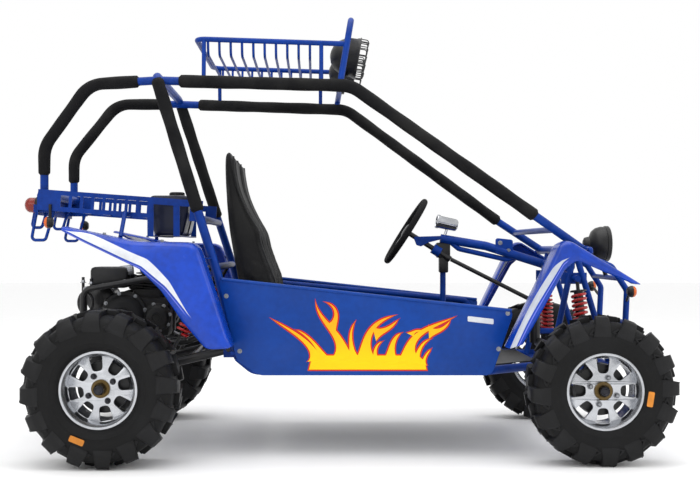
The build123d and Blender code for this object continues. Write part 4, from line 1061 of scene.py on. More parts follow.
    def hub(self) -> list[bpy.types.Object]:
        """Turns the yellow hub flange with its dark cap, which covers the axle's end."""
        spot = self.centre + Vector(OUTWARDS) * (self.face_out + 4)
        flange = self.shape("hub_flange")
        ring = [(0, 0), (0, 33), (8, 33), (10, 30), (10, 22), (7, 20), (7, 0)]
        flange.lathe(ring, spot, OUTWARDS, 40)
        cap = self.shape("hub_cap")
        end = self.recess - 8  # just inside the rim's edge
        can = [(2, 0), (2, 19), (end - 5, 18), (end - 1, 15), (end, 11), (end - 2, 9), (end - 2, 0)]
        cap.lathe(can, spot, OUTWARDS, 32)
        return [self.finished(flange, YELLOW_ZINC, 30), self.finished(cap, DARK_NUT, 30)]

    def nuts(self) -> bpy.types.Object:
        """Sets the wheel nuts round the hub."""
        shape = Shape("wheel_nut")
        spot = (0, -self.face_out - 5, self.bolt_circle)
        shape.lathe([(0, 0), (0, 11), (4, 11), (4, 0)], spot, OUTWARDS, 24)
        shape.lathe([(3, 0), (3, 8.5), (12, 8.5), (15, 6), (15, 0)], spot, OUTWARDS, 6)
        phase = math.radians(90 - self.nut_turn)
        return self.around("wheel_nuts", shape, self.bolts, phase, self.nut_finish)

    def label(self) -> bpy.types.Object:
        """Lays a blank oblong sticker on the tyre's side."""
        away = Vector((self.sticker[0], 0, self.sticker[1]))
        turn = math.atan2(away.z, away.x) + math.pi / 2
        spot = side_place(-self.y - self.width / 2 - 0.4) @ Matrix.Translation(
            (self.x + away.x, self.radius + away.z, 0)
        ) @ Matrix.Rotation(turn, 4, "Z")
        shape = self.shape("tyre_sticker")
        outline = rounded([(-27, -11), (27, -11), (27, 11), (-27, 11)], 5, 3, closed=True)
        shape.plate([outline], 1.6, spot, 0.4)
        return self.finished(shape, STICKER)


@dataclass
class CageFoam:
    """The foam sleeves on the cage's tubes."""

    radius: float = 24.0
    bore: float = 16.5
    bend: float = 120.0
    fill: float = 0.8
    spacing: float = 9.0
    end_round: Flat = (12.0, 9.0)  # length and depth of the rounding at each end
    slit: tuple[float, float, float] = (2.6, 0.16, 3.2)  # angle, half width and depth of the slit
    waves: Flat = (61.0, 23.0)  # lengths of the long and the short unevenness

    def build(self) -> None:
        """Builds three sleeves on the right and copies them to the left."""
        joint, front, foot = (-685, -352, 1412), (53, -370, 1390), (745, -430, 890)
        rail_start = Vector(joint).lerp(Vector(front), 85 / 738)  # 85 mm ahead of the hoop
        pillar_end = Vector(front).lerp(Vector(foot), 0.99)
        stay = [Vector(p) for p in (joint, (-949, -300, 1405), (-1130, -265, 1168), (-1130, -265, 984))]
        runs = {
            "rail": [rail_start, front, pillar_end],
            "hoop": [self.hoop_at(912), self.hoop_at(1416)],
            "stay": [stay[0].lerp(stay[1], 0.25), stay[1], stay[2], stay[2].lerp(stay[3], 0.6)],
        }
        for number, (name, run) in enumerate(runs.items()):
            both_sides([self.sleeve(f"{name}_foam_right", run, number)], "cage_foam")

    @staticmethod
    def hoop_at(z: float) -> Vector:
        """Gives the middle of the right-hand hoop leg at a height."""
        foot, head = Vector((-443, -428.7, 669)), Vector((-685, -370, 1430))
        return foot.lerp(head, (z - foot.z) / (head.z - foot.z))

    def sleeve(self, name: str, run: Sequence[Point], number: int) -> bpy.types.Object:
        """Makes one sleeve with soft ends, a slit along it and slight unevenness.

        Args:
            name: The piece's name.
            run: The corners of its middle line.
            number: Sets how its unevenness falls.

        Returns:
            The piece.
        """
        line = rounded(run, self.bend, 10) if len(run) > 2 else [Vector(p) for p in run]
        length = sum((b - a).length for a, b in zip(line, line[1:]))
        line = sampled(line, max(int(length / self.spacing), 12))
        end_length, end_depth = self.end_round
        slit_angle, slit_half, slit_depth = self.slit
        long, short = self.waves

        def swell(share: float, angle: float) -> float:
            """Gives the sleeve's change of radius."""
            end = min(share, 1 - share) * length
            soft = -end_depth * max(0.0, 1 - end / end_length) ** 2
            off = abs(math.remainder(angle - slit_angle, FULL_TURN))
            slit = -slit_depth * max(0.0, 1 - off / slit_half)
            wave = math.sin(share * length / long + number) * math.sin(angle * 2 + share * 9)
            return soft + slit + 0.7 * wave + 0.5 * math.sin(share * length / short + 2 * number)

        shape = Shape(name)
        shape.tube(line, self.radius, 44, swell, self.bore)
        return shape.piece(FOAM, 60)


@dataclass
class Seat:
    """A high-backed bucket seat of two stuffed cushions with piped edges."""

    y: float = 208
    swell_cap: float = 9.0
    voxel: float = 6.0
    pressure: float = 4.0
    frames: int = 20
    quality: int = 5
    roundings: int = 2
    calming: tuple[float, int] = (0.5, 4)
    fill: float = 0.75
    # height, front of the bolsters, back, half width, depth of the hollow between the bolsters
    back: tuple[Station, ...] = (
        (432, -190, -300, 176, 12),
        (520, -206, -336, 190, 24),
        (660, -230, -370, 192, 30),
        (737, -262, -384, 191, 30),
        (797, -284, -394, 189, 28),
        (841, -290, -402, 184, 26),
        (910, -336, -410, 162, 16),
        (990, -374, -416, 140, 9),
        (1066, -391, -420, 130, 6),
        (1128, -396, -421, 120, 5),
        (1158, -402, -418, 104, 2),
    )
    # length along the seat, top of the bolsters, underside, half width, depth of the hollow
    base: tuple[Station, ...] = (
        (-244, 436, 348, 178, 8),
        (-200, 444, 345, 190, 18),
        (-100, 456, 345, 192, 24),
        (-10, 470, 345, 192, 22),
        (36, 474, 345, 190, 14),
        (56, 462, 352, 182, 4),
    )

    def build(self) -> None:
        """Builds the right-hand seat and copies it to the left."""
        cushions = [
            self.cushion("seat_back_right", self.back, True),
            self.cushion("seat_base_right", self.base, False),
        ]
        piping = self.piping()
        for obj in cushions:
            both_sides([obj], "seat_right")
        both_sides([piping], "seat_right")

    @staticmethod
    def ring(station: Station, upright: bool, y: float) -> list[Vector]:
        """Gives one closed section through a cushion.

        Args:
            station: Its row of the table.
            upright: Whether it belongs to the back or the base.
            y: The seat's middle.

        Returns:
            The section's points.
        """
        place, face, rear, half, hollow = station
        depth = face - rear
        side = [(0.0, face - hollow), (0.42, face - hollow), (0.6, face - 0.45 * hollow), (0.78, face),
                (0.93, face - 0.1 * depth), (1.0, face - 0.38 * depth), (0.985, rear + 0.22 * depth),
                (0.9, rear + 0.03 * depth), (0.45, rear)]
        loop = side + [(-a, b) for a, b in reversed(side[1:])]
        if upright:
            return [Vector((b, -y + a * half, place)) for a, b in loop]
        return [Vector((place, -y + a * half, b)) for a, b in loop]

    def cushion(self, name: str, stations: Sequence[Station], upright: bool) -> bpy.types.Object:
        """Makes one cushion and stuffs it.

        Args:
            name: The piece's name.
            stations: The table of its sections.
            upright: Whether it is the back or the base.

        Returns:
            The piece.
        """
        shape = Shape(name)
        shape.loft([self.ring(s, upright, self.y) for s in stations])
        obj = shape.piece(VINYL, 80)
        obj.parent = None
        self.stuff(obj)
        return settle(obj, VINYL, 80)

    def stuff(self, obj: bpy.types.Object) -> None:
        """Remeshes a cushion and swells it as stuffed cloth, within a cap."""
        levels = obj.modifiers.new("round", "SUBSURF")
        levels.levels = levels.render_levels = self.roundings
        even = obj.modifiers.new("even", "REMESH")
        even.mode, even.voxel_size = "VOXEL", self.voxel * MM
        apply_modifiers(obj)
        rest = [v.co.copy() for v in obj.data.vertices]
        cloth = obj.modifiers.new("stuffing", "CLOTH")
        cloth.settings.use_pressure = True
        cloth.settings.uniform_pressure_force = self.pressure
        cloth.settings.effector_weights.gravity = 0
        cloth.settings.quality = self.quality
        scene = bpy.context.scene
        for number in range(1, self.frames + 1):
            scene.frame_set(number)
        apply_modifiers(obj)
        scene.frame_set(1)
        cap = self.swell_cap * MM
        for vert, start in zip(obj.data.vertices, rest):
            move = vert.co - start
            if move.length > cap:
                vert.co = start + move.normalized() * cap
        calm = obj.modifiers.new("calm", "SMOOTH")
        calm.factor, calm.iterations = self.calming
        fine = obj.modifiers.new("fine", "SUBSURF")
        fine.levels = fine.render_levels = 1
        apply_modifiers(obj)

    def piping(self) -> bpy.types.Object:
        """Lays piping along both bolsters of the back."""
        shape = Shape("seat_piping_right")
        for sign in (-1, 1):
            line = [
                (s[1] - 0.06 * (s[1] - s[2]) + 3, -self.y + sign * 0.9 * s[3], s[0]) for s in self.back[1:-1]
            ]
            shape.tube(sampled(rounded(line, 60, 5), 60), 3.2, 10)
        return shape.piece(PIPING, 60)


@dataclass
class Fender:
    """A moulded fender: a top sheet that rolls over into an outer skirt, alike on both sides."""

    name: str
    top: tuple[Flat, ...]
    edge: tuple[Flat, ...]
    outside: float
    inside: tuple[float, float]
    switch: float
    roll: float
    bend: float
    finish: Finish
    stations: int = 64
    wall: float = 3.5

    def build(self) -> None:
        """Builds the fender on both sides."""
        both_sides([self.shell()], f"{self.name}_right")

    def shell(self) -> bpy.types.Object:
        """Lofts the right-hand shell through its stations."""
        top = sampled(rounded(self.top, self.bend, 12), self.stations)
        edge = sampled(rounded(self.edge, self.bend * 0.8, 10), self.stations)
        rows, across = [], []
        for i, (high, low) in enumerate(zip(top, edge)):
            share = i / (self.stations - 1)
            y_in = self.inside[0] if share < self.switch else self.inside[1]
            row = self.section(high, low, y_in)
            gaps = [(b - a).length for a, b in zip(row, row[1:])]
            rows.append(row)
            across.append([sum(gaps[k:]) / 100 for k in range(len(row))])
        shape = Shape(f"{self.name}_shell_right")
        shape.grid(rows, across=across)
        return shape.piece(self.finish, 50, wall=self.wall)

    def section(self, high: Vector, low: Vector, y_in: float) -> list[Vector]:
        """Gives one section from the inner edge over the roll to the skirt's lip.

        Args:
            high: Length and height of the top line here.
            low: Length and height of the skirt's edge here.
            y_in: Lateral place of the inner edge.

        Returns:
            The section's points.
        """
        fall = low - high
        way = Vector((fall.x, 0, fall.y)).normalized()
        roll = min(self.roll, 0.6 * fall.length)
        start = Vector((high.x, 0, high.y))
        end = Vector((low.x, 0, low.y))
        out = Vector(OUTWARDS)
        flat = self.outside - roll
        row = [start + out * y_in + way * 5, start + out * (y_in + 4)]
        for k in (1, 2, 3):
            crown = way * 3 * math.sin(math.pi * k / 4)
            row.append(start + out * (y_in + (flat - y_in) * k / 4) - crown)
        for k in range(7):
            angle = math.pi / 2 * k / 6
            row.append(start + out * (flat + roll * math.sin(angle)) + way * roll * (1 - math.cos(angle)))
        foot = start + way * roll
        for k in range(1, 7):
            share = k / 6
            bulge = 3.0 * math.sin(math.pi * share)
            row.append(foot.lerp(end, share) + out * (self.outside + bulge))
        row.append(end + out * (self.outside - 3) + way * 3)
        row.append(end + out * (self.outside - 9) + way * 1.5)
        return row


@dataclass
class SidePanel:
    """The side panels with their rolled top edge, flame film, reflector strip and screws."""

    outline: tuple[Flat, ...] = ((-443, 669), (-374, 362), (-291, 306), (571, 306), (656, 550))
    middle_y: float = -448
    thick: float = 4
    corners: tuple[float, ...] = (26, 60, 60, 40, 30)
    film_y: float = -450.3
    film_thick: float = 0.3
    film_step: float = 0.015  # keeps the faces of overlapping tongues apart
    # place of the film's lower left corner, and millimetres to one unit of its drawing
    film_corner: Flat = (-106, 328)
    film_unit: float = 0.561
    band: Flat = (775, 92)
    # root, two bends and tip of each tongue from the film's corner, and the width of its root
    tongues: tuple[tuple[Flat, Flat, Flat, Flat, float], ...] = (
        ((48, 60), (30, 180), (-110, 250), (-252, 338), 64),
        ((100, 70), (20, 220), (-60, 250), (-84, 262), 34),
        ((222, 60), (236, 250), (60, 300), (42, 455), 96),
        ((140, 270), (196, 330), (196, 420), (104, 446), 58),
        ((292, 70), (274, 180), (262, 250), (306, 318), 50),
        ((376, 50), (356, 250), (440, 322), (574, 360), 92),
        ((430, 236), (530, 262), (552, 292), (590, 330), 56),
        ((446, 50), (420, 130), (450, 170), (486, 186), 40),
        ((540, 50), (536, 170), (572, 226), (612, 242), 74),
        ((662, 50), (640, 250), (800, 268), (968, 350), 92),
        ((790, 246), (880, 250), (910, 290), (934, 328), 50),
        ((674, 226), (690, 256), (730, 262), (760, 254), 36),
        ((706, 40), (716, 140), (760, 190), (806, 202), 44),
        ((752, 30), (760, 90), (790, 118), (806, 136), 30),
    )
    # rear end's length and top, front end's length and bottom
    strip: tuple[float, float, float, float] = (481, 526, 577, 495)
    screws: tuple[Flat, ...] = ((-412, 600), (-362, 396), (596, 404), (630, 536))

    @property
    def outer_y(self) -> float:
        """Lateral place of the right-hand panel's outer face."""
        return self.middle_y - self.thick / 2

    def build(self) -> None:
        """Builds the right-hand panel with all that is on it and copies them to the left."""
        panel = self.panel()
        films = [self.film("edge", FLAME_EDGE, 5.5, 0.0), self.film("fill", FLAME_FILL, 0.0, 0.45)]
        both_sides([panel, *films, self.reflector(), self.screw_heads()], "side_panel_right")

    def panel(self) -> bpy.types.Object:
        """Cuts the sheet and rolls its top edge."""
        shape = Shape("panel_sheet_right")
        line = rounded(self.outline, self.corners, 10, closed=True)
        shape.plate([line], self.thick, side_place(self.middle_y), 1.2)
        rear, front = self.outline[0], self.outline[-1]
        ends = [(rear[0] + 14, self.middle_y, rear[1] - 7), (front[0] - 12, self.middle_y, front[1] - 4)]
        shape.tube(sampled([Vector(p) for p in ends], 30), 6.5, 14)
        return shape.piece(BLUE_PANEL, 35)

    def film(self, name: str, finish: Finish, grow: float, lift: float) -> bpy.types.Object:
        """Cuts one layer of the flame film.

        Args:
            name: The layer's name.
            finish: Its finish.
            grow: How far its outline stands outside the flames.
            lift: How far it lies above the first layer.

        Returns:
            The piece.
        """
        shape = Shape(f"flame_{name}_right")
        wide, high = (v * self.film_unit for v in self.band)
        x, z = self.film_corner
        base = [(-grow, -grow), (wide + grow, -grow), (wide - 8 + grow, high * 0.6), (wide - 30, high + grow)]
        base += [(26, high + grow), (8 - grow, high * 0.6)]
        outlines = [[Vector((x + a, z + b)) for a, b in base]]
        for root, first, second, tip, width in self.tongues:
            points = [Vector(p) * self.film_unit + Vector(self.film_corner) for p in (root, first, second, tip)]
            outlines.append(self.tongue(points, width * self.film_unit / 2, grow))
        for number, outline in enumerate(outlines):
            layer = side_place(self.film_y - lift - self.film_step * number)
            shape.plate([outline], self.film_thick, layer, 0.05)
        return shape.piece(finish, 30)

    @staticmethod
    def tongue(points: Sequence[Vector], half: float, grow: float, steps: int = 22) -> list[Vector]:
        """Gives the outline of one tongue, wide at its root and pointed at its tip.

        Args:
            points: Root, two bends and tip.
            half: Half the width at the root.
            grow: How far the outline stands outside it.
            steps: Points along each side.

        Returns:
            The outline.
        """
        root, first, second, tip = points
        left, right = [], []
        for k in range(steps):
            t = k / (steps - 1)
            u = 1 - t
            spot = root * u**3 + first * 3 * u * u * t + second * 3 * u * t * t + tip * t**3
            way = ((first - root) * u * u + (second - first) * 2 * u * t + (tip - second) * t * t).normalized()
            side = Vector((-way.y, way.x))
            slim, root_flare = 0.52 * u**0.65, 1.25 * math.exp(-9 * t)
            reach = half * (slim + root_flare) * (1 - t**6) + grow * (1 - t**12)
            if k == steps - 1:
                spot, reach = spot + way * grow * 1.6, 0.05
            left.append(spot + side * reach)
            right.append(spot - side * reach)
        return right + left[::-1]

    def reflector(self) -> bpy.types.Object:
        """Lays the white reflector strip."""
        x0, z0, x1, z1 = self.strip
        high, thick = 20, 2.0
        outline = [(x0, z0 - high), (x1, z1), (x1, z1 + high), (x0, z0)]
        shape = Shape("reflector_right")
        layer = side_place(self.outer_y - thick / 2)
        shape.plate([rounded(outline, 4, 3, closed=True)], thick, layer, 0.6)
        return shape.piece(WHITE_FILM)

    def screw_heads(self) -> bpy.types.Object:
        """Sets the screws that hold the panel."""
        places = [((x, self.outer_y, z), OUTWARDS) for x, z in self.screws]
        return REPEAT.spots("panel_screws_right", bolt_item(9), places, ZINC_BOLT)


@dataclass
class Lamps:
    """Roof lamps, headlamp, tail lamps and indicators with their lenses and stalks."""

    roof: Point = (45, -200, 1527)
    roof_axis: Point = (0.985, 0, -0.17)
    head: Point = (1085, 0, 795)
    tail: Point = (-1150, -230, 945)
    rear_signal: Point = (-1098, -328, 875)
    front_signal: Point = (1128, -309, 611)
    guard_wires: int = 5

    def build(self) -> None:
        """Builds all lamps."""
        self.roof_lamps()
        self.headlamp()
        self.tail_lamps()
        self.signals()

    def roof_lamps(self) -> None:
        """Builds the two round work lamps with their wire guards."""
        shell = Shape("roof_lamp_shell_right")
        profile = [(-70, 0), (-69, 12), (-62, 34), (-46, 55), (-22, 69), (4, 75), (26, 76), (30, 79), (40, 79),
                   (43, 75), (41, 70), (34, 68), (32, 0)]
        shell.lathe(profile, self.roof, self.roof_axis, 56)
        shell.tube([(16, self.roof[1], 1427), (20, self.roof[1], 1440), (32, self.roof[1], 1458)], 9, 14)
        shell.block((34, 40, 10), (24, self.roof[1], 1443), 2.5)
        lens = Shape("roof_lamp_lens_right")
        glass = [(33, 0), (44, 0), (42, 30), (39, 54), (36, 68), (32, 68), (32, 0)]
        lens.lathe(glass, self.roof, self.roof_axis, 48)
        pieces = [shell.piece(BLACK_PLASTIC), lens.piece(CLEAR_LENS), self.guard().piece(BLACK_STEEL)]
        both_sides(pieces, "roof_lamps")

    def guard(self) -> Shape:
        """Weaves the lamp's guard from bowed wires both ways and a rim."""
        shape = Shape("roof_lamp_guard_right")
        spot = facing(self.roof, self.roof_axis)
        spread, reach, back, front = 60, 78, 40, 70  # outermost wire, radius of the ends, both depths
        wire, over = 1.9, 2.4  # radius of a wire, and how far the second layer lies above the first
        for k in range(self.guard_wires):
            off = 2 * spread * k / (self.guard_wires - 1) - spread
            half = math.sqrt(reach**2 - off**2)
            bow = rounded([(back, -half), (front, -half), (front, half), (back, half)], 10, 5)
            shape.tube([spot @ Vector((off, b, a)) for a, b, _ in bow], wire, 8)
            shape.tube([spot @ Vector((b, off, a + over)) for a, b, _ in bow], wire, 8)
        rim = [spot @ Vector((80 * math.cos(t), 80 * math.sin(t), back)) for t in turns(40, closed=True)]
        shape.tube(rim, 3.0, 10)
        return shape

    def headlamp(self) -> None:
        """Builds the single headlamp on its stalk."""
        ahead = (1, 0, 0)
        shell = Shape("headlamp_shell")
        profile = [(-70, 0), (-69, 15), (-64, 25), (-54, 28), (-46, 29), (-42, 34), (-34, 52), (-20, 64),
                   (0, 70), (16, 70), (18, 73), (31, 73), (34, 70), (33, 64), (25, 62), (23, 0)]
        shell.lathe(profile, self.head, ahead, 56)
        shell.tube([(1110, 0, 662), (1098, 0, 700), (1086, 0, 732)], 9, 14)
        shell.block((40, 34, 12), (1087, 0, 727), 3)
        lens = Shape("headlamp_lens")
        lens.lathe([(24, 0), (33, 0), (32, 24), (29, 48), (26, 62), (23, 62), (23, 0)], self.head, ahead, 48)
        obj = shell.piece(BLACK_PLASTIC)
        lens.piece(CLEAR_LENS)
        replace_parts(obj, "headlamp")

    def tail_lamps(self) -> None:
        """Builds the two round tail lamps."""
        behind = (-1, 0, 0)
        cup = Shape("tail_lamp_cup_right")
        cup.lathe([(0, 0), (0, 32), (16, 32), (20, 30), (20, 0)], self.tail, behind, 40)
        lens = Shape("tail_lamp_lens_right")
        ridges = [(18, 0), (18, 29)] + [(20 + 4 * k, 29.5 - (0.8 if k % 2 else 0)) for k in range(7)]
        lens.lathe([*ridges, (52, 26), (59, 19), (63, 9), (64, 0)], self.tail, behind, 40)
        both_sides([lens.piece(RED_LENS), cup.piece(BLACK_PLASTIC)], "tail_lamps")

    def signals(self) -> None:
        """Builds the four indicators on their stalks."""
        stalks = {
            "rear": [(-1098, -306.3, 878), (-1098, -306.3, 945)],
            "front": [(1120, -300, 611), (1130, -270, 600), (1138, -202, 569)],
        }
        spots = {"rear": (self.rear_signal, (-1, 0, 0)), "front": (self.front_signal, (1, 0, 0))}
        for name, (spot, axis) in spots.items():
            cup = Shape(f"{name}_signal_cup_right")
            cup.lathe([(-18, 0), (-18, 12), (-12, 19), (-2, 22.5), (3, 22.5), (3, 0)], spot, axis, 32)
            cup.tube(rounded(stalks[name], 20, 5) if len(stalks[name]) > 2 else stalks[name], 6, 12)
            lens = Shape(f"{name}_signal_lens_right")
            lens.lathe([(2, 0), (2, 21), (6, 21.5), (11, 20), (16, 14), (18, 0)], spot, axis, 32)
            both_sides([lens.piece(AMBER), cup.piece(BLACK_PLASTIC)], "indicators")


@dataclass
class FuelTank:
    """The pressed tank with its seam and ribbed cap."""

    middle: Point = (-665, 0, 906)
    half: float = 150
    outline: tuple[Flat, ...] = ((-78, 81), (-78, 11), (-56, -80), (56, -80), (78, 11), (78, 81))
    cap: Point = (-650, 0, 985)
    cap_ribs: int = 20

    def build(self) -> None:
        """Builds the tank and its cap."""
        line = rounded(self.outline, 22, 6, closed=True)
        stations = [(-1.0, 0.5), (-1.0, 0.8), (-0.985, 0.92), (-0.95, 0.985), (-0.9, 1.0), (-0.02, 1.0)]
        stations += [(-a, s) for a, s in reversed(stations)]
        x, _, z = self.middle
        shape = Shape("tank_shell")
        shape.loft([[(x + p.x * s, a * self.half, z + p.y * s) for p in line] for a, s in stations])
        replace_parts(shape.piece(TANK_PAINT, 35), "fuel_tank")
        seam = Shape("tank_seam")
        proud = 1.012  # the seam's size against the tank's
        ring = [(x + p.x * proud, 0, z + p.y * proud) for p in line]
        seam.tube([*ring, ring[0]], 3.0, 8)
        seam.piece(TANK_PAINT)
        cap = Shape("tank_cap")
        knob = [(0, 0), (0, 27), (6, 28), (8, 30), (19, 29), (21, 26), (21, 12), (18, 10), (18, 0)]
        cap.lathe(knob, self.cap, UPWARDS, 48)
        cap.piece(BLACK_PLASTIC)
        rib = Shape("cap_rib")
        rib.block((3.2, 3.2, 9), (0, 0, 0), 0.8)
        x, y, z = self.cap
        places = [((x + a, y + b, z + 13), UPWARDS) for a, b in circle(30, self.cap_ribs)]
        REPEAT.spots("tank_cap_ribs", rib.bake(), places, BLACK_PLASTIC)


@dataclass
class Engine:
    """The rear engine: crankcase, finned cylinder, covers, silencer and intake."""

    case: Point = (-800, 0, 500)
    case_size: Point = (270, 220, 160)
    cover: Point = (-846, -110, 512)
    cover_radius: float = 92
    small_cover: Point = (-716, -110, 500)
    small_radius: float = 58
    cover_screws: int = 8
    fins: int = 9
    fin_pitch: float = 11
    silencer: Point = (-962, 60, 570)
    silencer_radius: float = 60

    def build(self) -> None:
        """Builds the engine's pieces."""
        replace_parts(self.crankcase(), "engine")
        self.covers()
        self.cylinder()
        self.exhaust()
        self.intake()
        self.straps()

    def crankcase(self) -> bpy.types.Object:
        """Builds the split crankcase with its feet."""
        shape = Shape("engine_case")
        x, y, z = self.case
        shape.block(self.case_size, self.case, 22)
        shape.block((self.case_size[0] + 12, 10, self.case_size[2] + 8), self.case, 4)
        shape.block((170, 190, 40), (x - 10, y, z - 66), 10)
        shape.block((120, 150, 60), (x + 40, y, z + 84), 14)
        return shape.piece(ENGINE_BLACK, 35)

    def covers(self) -> None:
        """Turns the two round covers on each side, with their screws."""
        for side, label in ((-1, "right"), (1, "left")):
            shape = Shape(f"engine_covers_{label}")
            spots = []
            for (x, y, z), radius in ((self.cover, self.cover_radius), (self.small_cover, self.small_radius)):
                centre, axis = (x, -side * y, z), (0, side, 0)
                step = [(-12, 0), (-12, radius), (10, radius), (13, radius - 3), (14, 0.86 * radius),
                        (18, 0.83 * radius), (27, 0.7 * radius), (30, 0.55 * radius), (30, 0.3 * radius),
                        (26, 0.27 * radius), (26, 0)]
                shape.lathe(step, centre, axis, 56)
                reach = 0.93 * radius
                for k in range(self.cover_screws):
                    turn = FULL_TURN * (k + 0.3) / self.cover_screws
                    spot = (x + reach * math.cos(turn), centre[1] + side * 13, z + reach * math.sin(turn))
                    spots.append((spot, axis))
            shape.piece(ENGINE_BLACK, 30)
            REPEAT.spots(f"engine_screws_{label}", bolt_item(8), spots, ZINC_BOLT)

    def cylinder(self) -> None:
        """Stacks the cooling fins under the head cover."""
        fin = Shape("fin")
        fin.plate([rounded([(-72, -66), (72, -66), (72, 66), (-72, 66)], 16, 4, closed=True)], 4, Matrix(), 0.8)
        base, lean = Vector((-752, 0, 582)), Vector((0.1, 0, 1))
        places = [(base + lean * self.fin_pitch * k, lean) for k in range(self.fins)]
        REPEAT.spots("engine_fins", fin.bake(), places, ENGINE_BLACK)
        shape = Shape("engine_head")
        shape.tube([base, base + lean * self.fin_pitch * self.fins], 52, 32)
        shape.block((110, 104, 26), (-741, 0, 690), 9)
        shape.piece(ENGINE_BLACK)
        plug = Shape("ignition_cap")
        lead = [(-690, -20, 668), (-672, -26, 690), (-668, -40, 664), (-668, -60, 620)]
        plug.tube(rounded(lead, 14, 5), 7, 12)
        plug.piece(BLACK_PLASTIC)

    def exhaust(self) -> None:
        """Runs the pipe from the cylinder to the silencer."""
        pipe = Shape("exhaust_pipe")
        run = [(-686, 50, 622), (-664, 80, 590), (-668, 118, 470)]
        run += [(-760, 128, 440), (-930, 126, 440), (-962, 118, 520)]
        pipe.tube(sampled(rounded(run, 45, 8), 70), 15, 18)
        pipe.piece(STEEL)
        can = Shape("silencer")
        r = self.silencer_radius
        half = [(-82, 0), (-82, 16), (-80, 0.7 * r), (-72, 0.96 * r)]
        half += [(-62, r), (-60, r + 2), (-56, r + 2), (-54, r)]
        can.lathe(half + [(-a, b) for a, b in reversed(half)], self.silencer, (0, 1, 0), 48)
        can.piece(BLACK_STEEL, 35)

    def intake(self) -> None:
        """Builds the air box, its grey cap and the carburettor."""
        box = Shape("air_box")
        box.block((150, 150, 84), (-905, -66, 660), 16)
        box.block((60, 70, 54), (-812, -10, 636), 8)
        box.tube(rounded([(-842, -40, 660), (-824, -20, 652), (-796, -10, 640), (-770, 0, 640)], 20, 5), 20, 20)
        box.piece(BLACK_PLASTIC, 35)
        cap = Shape("breather_cap")
        cap.lathe([(0, 0), (0, 18), (4, 21), (52, 21), (56, 18), (56, 0)], (-868, -106, 684), (1, 0, 0.12), 32)
        cap.piece(ENGINE_GREY)

    def straps(self) -> None:
        """Bolts the flat strap, its ring bracket and two studs to the engine's right-hand side."""
        shape = Shape("engine_strap")
        y = -143
        start, end = Vector((-1004, y, 611)), Vector((-738, y, 659))
        way = (end - start).normalized()
        turn = Matrix.Translation((start + end) / 2) @ Matrix.Rotation(-math.atan2(way.z, way.x), 4, "Y")
        shape.block(((end - start).length, 6, 24), turn, 1.5)
        ring = [(-996 + 28 * math.cos(t), y + 2, 560 + 42 * math.sin(t)) for t in turns(36, closed=True)]
        shape.tube(ring, 6, 10)
        shape.block((22, 5, 110), (-1000, y, 555), 1.5)
        studs = [(-1006, y + 3, 662), (-974, y + 3, 656)]
        for top in studs:
            shape.tube([(*top[:2], 606), top], 6, 12)
        shape.piece(BLACK_STEEL)
        spots = [(start.lerp(end, s) + Vector((0, -3, 0)), OUTWARDS) for s in (0.04, 0.3, 0.62, 0.96)]
        spots += [((*top[:2], top[2] - 22), UPWARDS) for top in studs]
        REPEAT.spots("engine_strap_bolts", bolt_item(13), spots, ZINC_BOLT)


